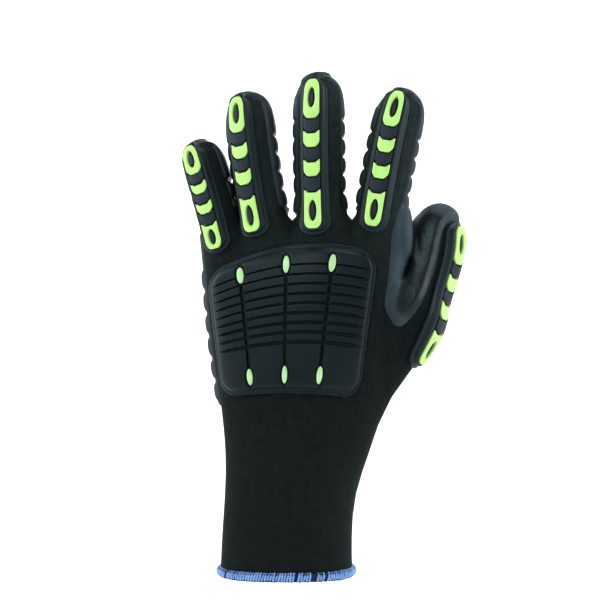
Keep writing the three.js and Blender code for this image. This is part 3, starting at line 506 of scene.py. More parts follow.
# How far from its spine a digit's surface can lie, in its radii
DIGIT_REACH = 1.5

# Places on the glove: each gives points on its surface and the way outwards there


def on_digit(name):
    """v along the digit's spine, u round it from the middle of its back. Past the centre of the tip the
    lines run on over its round end."""
    digit = DIGITS[name]
    spine, radius, turn = digit["spine"], digit["radius"], digit["turn"]
    last = spine.length - radius

    def place(u, v):
        walked = np.clip(v, 0, last) / spine.length
        tangent = unit(spine.at(np.minimum(walked + 0.01, 1)) - spine.at(np.maximum(walked - 0.01, 0)))
        back = np.array([-math.sin(turn), -math.cos(turn), 0])
        back = unit(back - (tangent @ back)[:, None] * tangent)
        across = np.cross(tangent, back)
        centre = spine.at(walked) + tangent * np.minimum(v, 0)[:, None]
        over = (np.maximum(v - last, 0) / radius)[:, None]
        angle = (u / radius)[:, None]
        way = back * np.cos(angle) + across * np.sin(angle)
        way = way * np.cos(over) + tangent * np.sin(over)
        return surface_from(centre, way, radius, DIGIT_REACH * radius), way

    return place


PLATE_WIDE = (PLATE_CORNERS["top_right"][0] - PLATE_CORNERS["top_left"][0]) * PALM_WIDTH
PLATE_TALL = (PLATE_CORNERS["top_left"][1] - PLATE_CORNERS["bottom_left"][1]) * PALM_LENGTH


def on_plate(a, b):
    """a runs from -1 at the plate's left edge to 1 at its right, b from 0 at its top to 1 at its foot."""
    t = ((a + 1) / 2)[:, None]
    down = b[:, None]
    corner = {k: np.array([x * PALM_WIDTH, level(z)]) for k, (x, z) in PLATE_CORNERS.items()}
    left = corner["top_left"] * (1 - down) + corner["bottom_left"] * down
    right = corner["top_right"] * (1 - down) + corner["bottom_right"] * down
    spot = left * (1 - t) + right * t
    rise = (PLATE_TOP_RISE * (1 - b) + PLATE_BOTTOM_RISE * b) * PALM_LENGTH * (1 - a * a)
    start = np.stack([spot[:, 0], np.full(len(a), -2 * PALM_DEPTH), spot[:, 1] + rise], 1)
    found = surface_from(start, np.tile([0.0, 1.0, 0.0], (len(a), 1)), 2 * PALM_DEPTH)
    way = unit(np.stack([0.75 * a * np.abs(a), np.full(len(a), -1.0), np.zeros(len(a))], 1))
    return found, way


def section_at(z):
    heights = [row["z"] for row in SECTIONS]
    keys = ("x", "half", "deep", "turn")
    return {key: np.interp(z, heights, [row[key] for row in SECTIONS]) for key in keys}


def on_palm(share, z):
    """share runs from -1, round the little finger's edge, to 1 at the coating's edge by the thumb."""
    section = section_at(z)
    shares, edges = zip(*PALM_EDGE)
    edge = PALM_WIDTH * np.interp((z - CUFF_LENGTH) / PALM_LENGTH, shares, edges)
    turn_from = -0.5
    left = section["x"] - 0.7 * section["half"]
    x = left + (edge - left) * (np.maximum(share, turn_from) - turn_from) / (1 - turn_from)
    centre = np.stack([x, -(x - section["x"]) * np.tan(section["turn"]), z], 1)
    angle = np.maximum(turn_from - share, 0) * 2.9
    way = np.stack([-np.sin(angle), np.cos(angle), np.zeros(len(x))], 1)
    return surface_from(centre, way, PALM_DEPTH / 2), way


# Meshes


def make_mesh(name, points, faces, uvs=None, finishes=(), finish_of=None, crease=None):
    """An object from points in millimetres. Edges bent by more degrees than crease stay sharp."""
    mesh = bpy.data.meshes.new(name)
    mesh.from_pydata((np.asarray(points) * METRE).tolist(), [], [list(map(int, f)) for f in faces])
    for finish in finishes:
        mesh.materials.append(finish)
    if finish_of is not None:
        mesh.polygons.foreach_set("material_index", np.asarray(finish_of, np.int32))
    if uvs is not None:
        layer = mesh.uv_layers.new(name="knit")
        layer.data.foreach_set("uv", np.asarray(uvs, np.float32).ravel())
    mesh.polygons.foreach_set("use_smooth", np.ones(len(mesh.polygons), bool))
    if crease is not None:
        mesh.set_sharp_from_angle(angle=crease * DEGREE)
    mesh.update()
    piece = bpy.data.objects.new(name, mesh)
    bpy.context.scene.collection.objects.link(piece)
    return piece


def grid_faces(rows, columns, start=0, flip=False):
    """Four-sided faces over a grid of points."""
    faces = []
    for r in range(rows - 1):
        for c in range(columns - 1):
            a = start + r * columns + c
            face = [a, a + 1, a + 1 + columns, a + columns]
            faces.append(face[::-1] if flip else face)
    return faces


def slab(place, u, v, h, low):
    """A closed sheet over a grid of places with its top at h and its underside at low."""
    rows, columns = u.shape
    base, way = place(u.ravel(), v.ravel())
    n = len(base)
    low = np.broadcast_to(low, u.shape).ravel()
    points = np.vstack([base + way * h.ravel()[:, None], base + way * low[:, None]])
    faces = grid_faces(rows, columns) + grid_faces(rows, columns, n, True)
    loop = list(range(columns))
    loop += [r * columns + columns - 1 for r in range(1, rows)]
    loop += [(rows - 1) * columns + c for c in range(columns - 2, -1, -1)]
    loop += [r * columns for r in range(rows - 2, 0, -1)]
    for a, b in zip(loop, loop[1:] + loop[:1]):
        faces.append([b, a, a + n, b + n])
    return points, faces


def rounded_half(half, r, d):
    """Half the width at d from an end whose corners have the radius r."""
    return half if d >= r else half - r + math.sqrt(max(r * r - (r - d) ** 2, 0))


def outline_with(corners):
    """A closed outline through corners given as (u, v, radius), each rounded with its radius."""
    out = []
    n = len(corners)
    for i, (u, v, r) in enumerate(corners):
        here = np.array([u, v])
        before = np.array(corners[i - 1][:2]) - here
        after = np.array(corners[(i + 1) % n][:2]) - here
        reach_in = min(r, 0.45 * np.linalg.norm(before), 0.45 * np.linalg.norm(after))
        p, q = here + unit(before) * reach_in, here + unit(after) * reach_in
        for t in np.linspace(0, 1, 6):
            out.append((1 - t) ** 2 * p + 2 * t * (1 - t) * here + t * t * q)
    return np.array(out)


def even_loop(loop, count):
    """The same closed outline with count evenly spaced points."""
    closed = np.vstack([loop, loop[:1]])
    walked = np.concatenate([[0], np.cumsum(np.linalg.norm(np.diff(closed, axis=0), axis=1))])
    spots = np.arange(count) / count * walked[-1]
    return np.stack([np.interp(spots, walked, closed[:, i]) for i in range(2)], 1)


def block_on(place, outer, inner, low, high, edge):
    """A solid block over an outline, with rounded upper edges. Inner is its hole's outline, or a centre."""
    count = len(outer)
    hole = len(inner) > 1
    middle = inner if hole else np.repeat(inner, count, 0)
    toward = middle - outer
    far = np.linalg.norm(toward, axis=1, keepdims=True)
    way = toward / np.maximum(far, 1e-6)
    rings = [(outer, low), (outer, high - edge)]
    rings += [(outer + way * edge * s, high - edge * c) for s, c in ((0.3, 0.29), (1, 0))]
    inside = (0.5,) if hole else (0.4, 0.75)
    rings += [(outer + toward * t, high) for t in inside]
    if hole:
        rings += [(middle - way * edge, high), (middle - way * edge * 0.3, high - edge * 0.29)]
        rings += [(middle, high - edge), (middle, low)]
    loops = np.concatenate([loop for loop, _ in rings])
    base, way = place(loops[:, 0], loops[:, 1])
    points = base + way * np.repeat([h for _, h in rings], count)[:, None]
    faces = []
    for k in range(len(rings) - 1):
        for i in range(count):
            j = (i + 1) % count
            faces.append([k * count + i, k * count + j, (k + 1) * count + j, (k + 1) * count + i])
    last = (len(rings) - 1) * count
    if hole:
        faces += [[last + i, last + (i + 1) % count, (i + 1) % count, i] for i in range(count)]
    else:
        base, way = place(middle[:1, 0], middle[:1, 1])
        points = np.vstack([points, base + way * high, base + way * low])
        tip = len(points) - 2
        faces += [[last + i, last + (i + 1) % count, tip] for i in range(count)]
        faces += [[(i + 1) % count, i, tip + 1] for i in range(count)]
    return points, faces


def joined(parts):
    """One mesh of several, and which of them each face came from."""
    points, faces, source = [], [], []
    for number, (part_points, part_faces) in enumerate(parts):
        base = len(points)
        points += list(part_points)
        faces += [[a + base for a in face] for face in part_faces]
        source += [number] * len(part_faces)
    return points, faces, source


# Finishes


def add_node(tree, kind, inputs=(), **values):
    """A node with its own values and its inputs set or linked by name or number."""
    node = tree.nodes.new(kind)
    for key, value in values.items():
        setattr(node, key, value)
    for key, value in dict(inputs).items():
        if isinstance(value, bpy.types.NodeSocket):
            tree.links.new(value, node.inputs[key])
        else:
            node.inputs[key].default_value = value
    return node


def calculate(tree, operation, *values):
    return add_node(tree, "ShaderNodeMath", dict(enumerate(values)), operation=operation).outputs[0]


def noise(tree, place, scale, detail, distortion=0.0):
    given = {"Vector": place, "Scale": scale, "Detail": detail, "Distortion": distortion}
    return add_node(tree, "ShaderNodeTexNoise", given).outputs["Fac"]


def stretched(tree, value, from_low, from_high, low, high):
    """The value's range from one low and high to another, held within it."""
    given = {"Value": value, "From Min": from_low, "From Max": from_high, "To Min": low, "To Max": high}
    return add_node(tree, "ShaderNodeMapRange", given).outputs[0]


def new_group(name, inputs, outputs):
    tree = bpy.data.node_groups.new(name, "ShaderNodeTree")
    for label, kind, value in inputs:
        socket = tree.interface.new_socket(label, in_out="INPUT", socket_type=kind)
        if value is not None:
            socket.default_value = value
    for label, kind in outputs:
        tree.interface.new_socket(label, in_out="OUTPUT", socket_type=kind)
    return tree, tree.nodes.new("NodeGroupInput").outputs, tree.nodes.new("NodeGroupOutput").inputs


def stitches_group():
    """Plain knitting over a map whose first way counts wales and whose second is in millimetres.
    Each stitch is two legs that lean together."""
    tree, given, made = new_group(
        "knit stitches",
        [
            ("Map", "NodeSocketVector", None),
            ("Wales", "NodeSocketFloat", 4.0),
            ("Course", "NodeSocketFloat", 1.4),
        ],
        [("Height", "NodeSocketFloat"), ("Hollow Shade", "NodeSocketFloat")],
    )

    def from_middle(value, middle=0.5):
        return calculate(tree, "ABSOLUTE", calculate(tree, "SUBTRACT", value, middle))

    def rounded(distance, narrow):
        squared = calculate(tree, "POWER", calculate(tree, "MULTIPLY", distance, narrow), 2.0)
        return calculate(tree, "SUBTRACT", 1.0, squared)

    parts = add_node(tree, "ShaderNodeSeparateXYZ", {0: given["Map"]}).outputs
    wale = calculate(tree, "MULTIPLY", parts[0], given["Wales"])
    beside = from_middle(calculate(tree, "FRACT", wale))
    course = calculate(tree, "DIVIDE", parts[1], given["Course"])
    leaning = calculate(tree, "ADD", course, calculate(tree, "MULTIPLY", beside, 1.3))
    along = from_middle(calculate(tree, "FRACT", leaning))
    height = calculate(tree, "MULTIPLY", rounded(along, 2.0), rounded(from_middle(beside, 0.24), 3.6))
    tree.links.new(height, made["Height"])
    # painted shade of the stitches: strongest where they lie lowest, between the yarn's legs
    tree.links.new(stretched(tree, height, 0.0, 0.45, 1.0, 0.0), made["Hollow Shade"])
    return tree


def grain_group():
    """Fine unevenness of a moulded or dipped surface: a coarse cloudiness and a fine grain."""
    tree, given, made = new_group(
        "surface grain",
        [
            ("Place", "NodeSocketVector", None),
            ("Cloud Scale", "NodeSocketFloat", 40.0),
            ("Grain Scale", "NodeSocketFloat", 900.0),
            ("Grain", "NodeSocketFloat", 0.5),
        ],
        [("Cloud", "NodeSocketFloat"), ("Height", "NodeSocketFloat")],
    )
    cloud = noise(tree, given["Place"], given["Cloud Scale"], 3.0)
    grain = noise(tree, given["Place"], given["Grain Scale"], 2.0)
    tree.links.new(cloud, made["Cloud"])
    fine = calculate(tree, "MULTIPLY", grain, given["Grain"])
    coarse = calculate(tree, "MULTIPLY", cloud, 0.3)
    tree.links.new(calculate(tree, "ADD", fine, coarse), made["Height"])
    return tree


STITCHES = stitches_group()
GRAIN = grain_group()
# The tint of the rubbers' gloss
COOL = (0.66, 0.93, 1.0, 1)
SHADER_INPUTS = {
    "rough": "Roughness",
    "gloss": "Specular IOR Level",
    "gloss_tint": "Specular Tint",
    "sheen": "Sheen Weight",
    "sheen_rough": "Sheen Roughness",
    "sheen_tint": "Sheen Tint",
}


def new_finish(name):
    finish = bpy.data.materials.new(name)
    finish.use_nodes = True
    tree = finish.node_tree
    return finish, tree, tree.nodes["Principled BSDF"]


def place_group(tree, group, inputs):
    return add_node(tree, "ShaderNodeGroup", inputs, node_tree=group).outputs


def object_place(tree):
    return add_node(tree, "ShaderNodeTexCoord").outputs["Object"]


def set_inputs(bsdf, **values):
    """Plain values of the shader, each named after its input."""
    for name, value in values.items():
        bsdf.inputs[SHADER_INPUTS[name]].default_value = value


def mixed(tree, mask, first, second):
    node = add_node(tree, "ShaderNodeMix", {0: mask}, data_type="RGBA")
    node.inputs[6].default_value = (*first, 1)
    node.inputs[7].default_value = (*second, 1)
    return node.outputs[2]


def relief(tree, bsdf, height, strength, distance):
    bump = add_node(tree, "ShaderNodeBump", {"Height": height, "Strength": strength, "Distance": distance})
    tree.links.new(bump.outputs[0], bsdf.inputs["Normal"])


def ranged(tree, value, low, high):
    """A noise's usual range made one from low to high."""
    return stretched(tree, value, 0.3, 0.7, low, high)


def knit_finish():
    finish, tree, bsdf = new_finish("black knitting")
    uv = add_node(tree, "ShaderNodeUVMap", uv_map="knit").outputs[0]
    stitches = place_group(tree, STITCHES, {"Map": uv, "Wales": 6.0, "Course": 1.3})
    place = object_place(tree)
    fuzz = noise(tree, place, 260.0, 4.0)
    # painted shade: the knitting's colour is darker in the hollows between the stitches' legs
    colour = mixed(tree, stitches["Hollow Shade"], (0.0055, 0.009, 0.0088), (0.001, 0.0016, 0.0016))
    # painted light: the knitting's colour is darker low on the cuff and paler higher up on the fingers,
    # standing in for how light falls on them
    height_here = add_node(tree, "ShaderNodeSeparateXYZ", {0: place}).outputs[2]
    fingers = stretched(tree, height_here, 0.14, 0.19, 0.75, 1.7)
    value = calculate(tree, "MULTIPLY", ranged(tree, fuzz, 0.75, 1.3), fingers)
    light = add_node(tree, "ShaderNodeHueSaturation", {"Color": colour, "Value": value})
    tree.links.new(light.outputs[0], bsdf.inputs["Base Color"])
    set_inputs(bsdf, rough=0.85, gloss=0.06, sheen=0.03, sheen_rough=0.5, sheen_tint=(0.2, 0.26, 0.26, 1))
    height = calculate(tree, "ADD", stitches["Height"], calculate(tree, "MULTIPLY", fuzz, 0.3))
    relief(tree, bsdf, height, 0.8, 0.00035)
    return finish


def grained(tree, cloud, grain):
    given = {"Place": object_place(tree), "Cloud Scale": cloud, "Grain Scale": grain, "Grain": 0.5}
    return place_group(tree, GRAIN, given)


def moulded_finish(name, dark, light, rough, cloud, grain, strength, distance, gloss):
    """A moulded rubber: two near tones in clouds, uneven gloss and a fine grain."""
    finish, tree, bsdf = new_finish(name)
    surface = grained(tree, cloud, grain)
    mask = ranged(tree, surface["Cloud"], 0.0, 1.0)
    tree.links.new(mixed(tree, mask, dark, light), bsdf.inputs["Base Color"])
    tree.links.new(ranged(tree, surface["Cloud"], *rough), bsdf.inputs["Roughness"])
    set_inputs(bsdf, gloss=gloss, gloss_tint=COOL)
    relief(tree, bsdf, surface["Height"], strength, distance)
    return finish


def coating_finish():
    """The coating: even on the pads; satin beside the index, with a lighter tone there that is painted
    light; polished and wrinkled over the thumb.
    """
    finish, tree, bsdf = new_finish("dipped coating")
    surface = grained(tree, 90.0, 1300.0)
    satin_and_painted_light = add_node(tree, "ShaderNodeAttribute", attribute_name="satin_and_painted_light").outputs["Fac"]
    polished = add_node(tree, "ShaderNodeAttribute", attribute_name="polished").outputs["Fac"]
    mask = ranged(tree, surface["Cloud"], 0.0, 1.0)
    even = mixed(tree, mask, (0.007, 0.0095, 0.011), (0.013, 0.0165, 0.0195))
    # painted light: a lighter tone beside the index, for the light on the side turned to the right
    painted_light_satin = mixed(tree, mask, (0.0125, 0.019, 0.0245), (0.018, 0.026, 0.033))
    black = mixed(tree, mask, (0.003, 0.0045, 0.005), (0.0055, 0.0075, 0.008))
    colour, rough = even, ranged(tree, surface["Cloud"], 0.36, 0.52)
    for share, other, other_rough in ((satin_and_painted_light, painted_light_satin, 0.62), (polished, black, 0.36)):
        colours = {0: share, 6: colour, 7: other}
        colour = add_node(tree, "ShaderNodeMix", colours, data_type="RGBA").outputs[2]
        roughs = {0: share, 2: rough, 3: other_rough}
        rough = add_node(tree, "ShaderNodeMix", roughs, data_type="FLOAT").outputs[0]
    tree.links.new(colour, bsdf.inputs["Base Color"])
    tree.links.new(rough, bsdf.inputs["Roughness"])
    set_inputs(bsdf, gloss=0.22, gloss_tint=COOL)
    folds = noise(tree, object_place(tree), 210.0, 2.0, 1.2)
    wrinkles = calculate(tree, "MULTIPLY", folds, calculate(tree, "MULTIPLY", polished, 2.0))
    relief(tree, bsdf, calculate(tree, "ADD", surface["Height"], wrinkles), 0.35, 0.0004)
    return finish


def thread_finish():
    finish, tree, bsdf = new_finish("blue thread")
    place = object_place(tree)
    strands = noise(tree, place, 700.0, 3.0)
    patches = noise(tree, place, 130.0, 2.0)
    mask = calculate(tree, "MULTIPLY", ranged(tree, strands, 0.35, 1.0), ranged(tree, patches, 0.55, 1.15))
    colour = mixed(tree, mask, (0.035, 0.1, 0.28), (0.14, 0.29, 0.58))
    tree.links.new(colour, bsdf.inputs["Base Color"])
    set_inputs(bsdf, rough=0.6, sheen=0.3, sheen_rough=0.4)
    relief(tree, bsdf, strands, 0.7, 0.0003)
    return finish


# Rubbers: dark tone and light tone, then least and most roughness, scales of the clouds and the grain,
# strength and depth of the relief, and gloss
RUBBERS = {
    "guard rubber": (
        (0.004, 0.007, 0.008), (0.0075, 0.0112, 0.0127),
        (0.38, 0.5), 60, 1500, 0.2, 0.00015, 0.17,
    ),
    "block rubber": (
        (0.0045, 0.007, 0.0105), (0.008, 0.0112, 0.0155),
        (0.45, 0.6), 120, 1800, 0.4, 0.0002, 0.19,
    ),
    "plate rubber": (
        (0.0025, 0.0045, 0.0052), (0.0043, 0.007, 0.008),
        (0.38, 0.45), 30, 1600, 0.15, 0.00012, 0.14,
    ),
    # painted shade: a near-black rubber for the plate's deep grooves, darker than the plate itself
    "groove shade rubber": (
        (0.002, 0.003, 0.003), (0.003, 0.004, 0.005),
        (0.6, 0.75), 60, 1500, 0.2, 0.00015, 0.25,
    ),
    "green inlay": (
        (0.29, 0.53, 0.12), (0.35, 0.6, 0.165),
        (0.42, 0.55), 160, 1600, 0.3, 0.00015, 0.25,
    ),
    "pale green inlay": (
        (0.28, 0.475, 0.215), (0.33, 0.535, 0.265),
        (0.42, 0.55), 160, 1600, 0.3, 0.00015, 0.25,
    ),
    "dark binding": (
        (0.004, 0.008, 0.026), (0.008, 0.016, 0.055),
        (0.7, 0.8), 200, 1500, 0.5, 0.0003, 0.1,
    ),
}

KNIT = knit_finish()
COATING = coating_finish()
moulded = [moulded_finish(name, *row) for name, row in RUBBERS.items()]
GUARD, BLOCK, PLATE, GROOVE_SHADE, GREEN, PALE_GREEN, BINDING = moulded
THREAD = thread_finish()


# The knitted shell

RIBS_PER_COLUMN = 3
RIB_DEPTH = 0.55
# The share of their depth that the ribs lose above the cuff, and over what height
PALM_RIBS_LOST = 0.6
RIBS_FADE = 40
# The inner wall's map counts wales over this width
INNER_WALE = 9


def halfway(a, b):
    return [(a[0] + b[0]) / 2, (a[1] + b[1]) / 2]


def walls_of(bm):
    """The mesh's faces in groups that hang together."""
    left, walls = set(bm.faces), []
    while left:
        wall, edge_faces = [], [left.pop()]
        while edge_faces:
            face = edge_faces.pop()
            wall.append(face)
            beside = {other for edge in face.edges for other in edge.link_faces} & left
            left -= beside
            edge_faces += beside
        walls.append(wall)
    return walls


def knit_shell():
    """The outside with its ribs, each face split once more across the wales, and the plain inner wall
    joined to it at the mouth."""
    points3, quads3, uvs3 = levels[3]
    points4, quads4, _ = levels[4]
    places = limit_of(points4, quads4)
    outwards = normals_of(places, quads4)
    edges, index, _ = edges_of(quads3)
    n = len(points3)
    split = np.zeros(len(edges), bool)
    split[index[:, 0]] = split[index[:, 2]] = True
    faces, corners = [], []
    for corner, middle, uv in zip(quads3.tolist(), index.tolist(), uvs3.tolist()):
        (a, b, c, d), (ab, bc, cd, da), (ua, ub, uc, ud) = corner, middle, uv
        low, high = halfway(ua, ub), halfway(uc, ud)
        left, left_uv = [a, n + ab, n + cd, d], [ua, low, high, ud]
        if split[da]:
            left.append(n + da)
            left_uv.append(halfway(ud, ua))
        right, right_uv = [n + ab, b], [low, ub]
        if split[bc]:
            right.append(n + bc)
            right_uv.append(halfway(ub, uc))
        faces += [left, right + [c, n + cd]]
        corners += [left_uv, right_uv + [uc, high]]
    flat = np.array([a for face in faces for a in face])
    wales = np.array([uv[0] for face in corners for uv in face])
    rib = RIB_DEPTH * (np.cos(2 * math.pi * RIBS_PER_COLUMN * wales) - 1) / 2
    total, count = np.zeros(len(places)), np.zeros(len(places))
    np.add.at(total, flat, rib)
    np.add.at(count, flat, 1)
    shallow = 1 - PALM_RIBS_LOST * smooth((places[:, 2] - CUFF_LENGTH) / RIBS_FADE)
    places = places + outwards * (shallow * total / np.maximum(count, 1))[:, None]
    used, flat = np.unique(flat, return_inverse=True)
    sizes = [len(face) for face in faces]
    starts = np.concatenate([[0], np.cumsum(sizes)])
    faces = [flat[a:b].tolist() for a, b in zip(starts, starts[1:])]
    outer = places[used]

    bm = bmesh.new()
    bm.from_mesh(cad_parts["knit_shell"].data)
    bmesh.ops.remove_doubles(bm, verts=bm.verts, dist=1e-6)
    mouth = (BAND_FLOOR + GAP + 0.05) * METRE
    rim = [face for face in bm.faces if all(v.co.z < mouth for v in face.verts)]
    bmesh.ops.delete(bm, geom=rim, context="FACES")
    walls = walls_of(bm)
    inner_wall = min(walls, key=lambda wall: max(face.calc_center_median().x for face in wall))
    outside = [face for wall in walls if wall is not inner_wall for face in wall]
    bmesh.ops.delete(bm, geom=outside, context="FACES")
    inner = bpy.data.meshes.new("inner wall")
    bm.to_mesh(inner)
    bm.free()
    base = len(outer)
    inner_points = np.array([v.co for v in inner.vertices]) / METRE
    inner_faces = [[base + a for a in p.vertices] for p in inner.polygons]
    corners = [uv for face in corners for uv in face]
    inner_corners = [inner_points[a - base] for face in inner_faces for a in face]
    corners += [(corner[0] / INNER_WALE, corner[2]) for corner in inner_corners]
    points = np.vstack([outer, inner_points])
    piece = make_mesh("knit_shell_skin", points, faces + inner_faces, corners, [KNIT])
    bm = bmesh.new()
    bm.from_mesh(piece.data)
    rim = [e for e in bm.edges if e.is_boundary and all(v.co.z < mouth for v in e.verts)]
    bmesh.ops.bridge_loops(bm, edges=rim)
    loose = [v for v in bm.verts if not v.link_faces]
    bmesh.ops.delete(bm, geom=loose, context="VERTS")
    for face in bm.faces:
        face.smooth = True
    bm.to_mesh(piece.data)
    bm.free()
    return piece


# Guards, blocks and inlays

CHANNEL = INLAY_WIDTH / 2 + 0.35
CHANNEL_DEPTH = 1.3
# How far above the knitting the underside of a guard or of the plate lies
SEAT = 0.15
# How far a block reaches below the channel's floor
BLOCK_ROOTED = 0.3
# How deep the upper edge of an inlay dips between its horns
HORN = 1.75
# How far the rubber in an inlay's oval hole lies below the inlay's top
CORE_SUNK = 0.7


def stadium(u, d, radius, first, last):
    """How far inside a round-ended strip a place is."""
    beyond = np.maximum(np.maximum(first - d, d - last), 0)
    return radius - np.hypot(u, beyond)


def guard_profile(u, d, run, ends):
    """The guard's height: flange, lip and ridge, less the channel for inlays and blocks."""
    half = GUARD_WIDTH / 2
    lip = (GUARD_WIDTH - GUARD_RIDGE_WIDTH) / 2
    inside = stadium(u, d, half, half, run - half)
    flange, top = GUARD_FLANGE, GUARD_HEIGHT
    height = np.interp(
        inside,
        [0, 0.12, 0.45, lip - 0.55, lip - 0.3, lip + 0.25, lip + 0.5, lip + 0.9],
        [1.0, 1.55, flange, flange, flange + 0.15, top - 0.45, top - 0.1, top],
    )
    channel = stadium(u, d, CHANNEL, ends[0] + CHANNEL - 0.3, ends[1] - CHANNEL + 0.3)
    return height - CHANNEL_DEPTH * smooth(channel / 0.35)


def inlay_outline(kind, v0, v1):
    """An inlay's outline, with two horns at its upper end. Only the tip's upper end is round."""
    w = INLAY_WIDTH / 2
    horns = [(w, v1, 0.25), (0.5 * w, v1 - HORN, 0.3), (-0.5 * w, v1 - HORN, 0.3), (-w, v1, 0.25)]
    foot = [(-w, v0 + 2.3, 1.2), (-0.54 * w, v0, 0.6), (0.54 * w, v0, 0.6), (w, v0 + 2.3, 1.2)]
    if kind == "tip":
        crown = [(w, v1 - 1.15 * w, 1.5), (0.86 * w, v1 - 0.5 * w, 2), (0.5 * w, v1, 2)]
        return outline_with(foot + crown + [(-u, v, r) for u, v, r in crown[::-1]])
    if kind == "root":
        toe = [(-w, v0 + 1.15 * w, 1.5), (-0.86 * w, v0 + 0.5 * w, 2), (-0.5 * w, v0, 2)]
        return outline_with(toe + [(-u, v, r) for u, v, r in toe[::-1]] + horns)
    return outline_with(foot + horns)


def oval_outline(u, v, width, length, count):
    t = np.arange(count) / count * 2 * math.pi - math.pi / 2
    return np.stack([u + np.cos(t) * width / 2, v + np.sin(t) * length / 2], 1)


def from_foot(loop):
    """The outline started at its lowest point, so that it pairs with an oval's."""
    return np.roll(loop, -int(np.argmin(loop[:, 1] + 0.01 * np.abs(loop[:, 0]))), 0)


def guard_pieces(name):
    """One digit's guard with its dark blocks, and the four inlays in it."""
    place = on_digit(name)
    length = DIGITS[name]["spine"].length
    start, end = (share * length for share in GUARD_SPANS[name])
    run = end - start
    half = GUARD_WIDTH / 2
    spans = {row: (start + a * run, start + b * run) for row, a, b, _ in INLAY_ROWS}
    ends = (spans["root"][0] - start, spans["tip"][1] - start)
    near = np.array([0.02, 0.12, 0.3, 0.6, 1.0, 1.4, 1.8, 2.2, 2.6])
    middle = np.linspace(3.0, run - 3.0, int((run - 6) / 0.45))
    d = np.concatenate([near, middle, run - near[::-1]])
    ridge = GUARD_RIDGE_WIDTH / 2
    steps = [0, 1, 2, *(CHANNEL + x for x in (-0.5, -0.2, 0, 0.2, 0.5))]
    steps += [ridge + x for x in (-0.9, -0.5, -0.25, 0, 0.25, 0.6)]
    steps += [half - x for x in (0.8, 0.45, 0.15, 0)]
    across = np.array(sorted(steps)) / half
    across = np.concatenate([-across[:0:-1], across])
    width = np.array([rounded_half(half, half, min(x, run - x)) for x in d])
    u = width[:, None] * across[None, :]
    v = np.repeat(d[:, None], len(across), 1)
    heights = guard_profile(u, v, run, ends)
    parts = [slab(place, u, v + start, heights, SEAT)]
    bottom = GUARD_HEIGHT - CHANNEL_DEPTH - BLOCK_ROOTED
    top = GUARD_HEIGHT + INLAY_PROUD
    rows = ["root", "low", "high", "tip"]
    w = INLAY_WIDTH / 2
    for below, above in zip(rows, rows[1:]):
        a, b = spans[below][1], spans[above][0]
        # a dark block fills the space between two inlays
        corners = [
            (-0.44 * w, a - HORN + 0.8, 0.3),
            (0.44 * w, a - HORN + 0.8, 0.3),
            (w, a + 1, 0.4),
            (w, b + 1.05, 0.4),
            (0.5 * w, b - 0.8, 0.3),
            (-0.5 * w, b - 0.8, 0.3),
            (-w, b + 1.05, 0.4),
            (-w, a + 1, 0.4),
        ]
        loop = even_loop(outline_with(corners), 48)
        centre = np.array([[0, (a + b) / 2]])
        parts.append(block_on(place, loop, centre, bottom, top, 0.35))
    made = []
    for row, _, _, oval in INLAY_ROWS:
        v0, v1 = spans[row]
        loop = inlay_outline(row, v0, v1)
        if oval is None:
            outer = even_loop(loop, 64)
            inner = np.array([[0, (v0 + v1) / 2 - 0.6]])
        else:
            outer = from_foot(even_loop(loop, 80))
            size = min(OVAL_LENGTH, (v1 - v0) * 0.62)
            middle_v = start + oval * run
            inner = oval_outline(0, middle_v, OVAL_WIDTH, size, 80)
            # dark rubber stands in the inlay's oval hole
            core = oval_outline(0, middle_v, OVAL_WIDTH - 1.1, size - 2.4, 32)
            parts.append(block_on(place, core, np.array([[0, middle_v]]), bottom, top - CORE_SUNK, 0.4))
        points, faces = block_on(place, outer, inner, GUARD_HEIGHT - INLAY_DEPTH + 0.02, top, 0.3)
        inlay = make_mesh(f"{name}_inlay_{row}_green", points, faces, finishes=[GREEN], crease=50)
        made.append((inlay, f"{name}_inlay_{row}", "inlay"))
    points, faces, source = joined(parts)
    finish_of = [1 if part else 0 for part in source]
    title = f"{name}_guard_moulded"
    guard = make_mesh(title, points, faces, finishes=[GUARD, BLOCK], finish_of=finish_of, crease=50)
    made.append((guard, f"{name}_guard", "guard"))
    return made


# Back plate


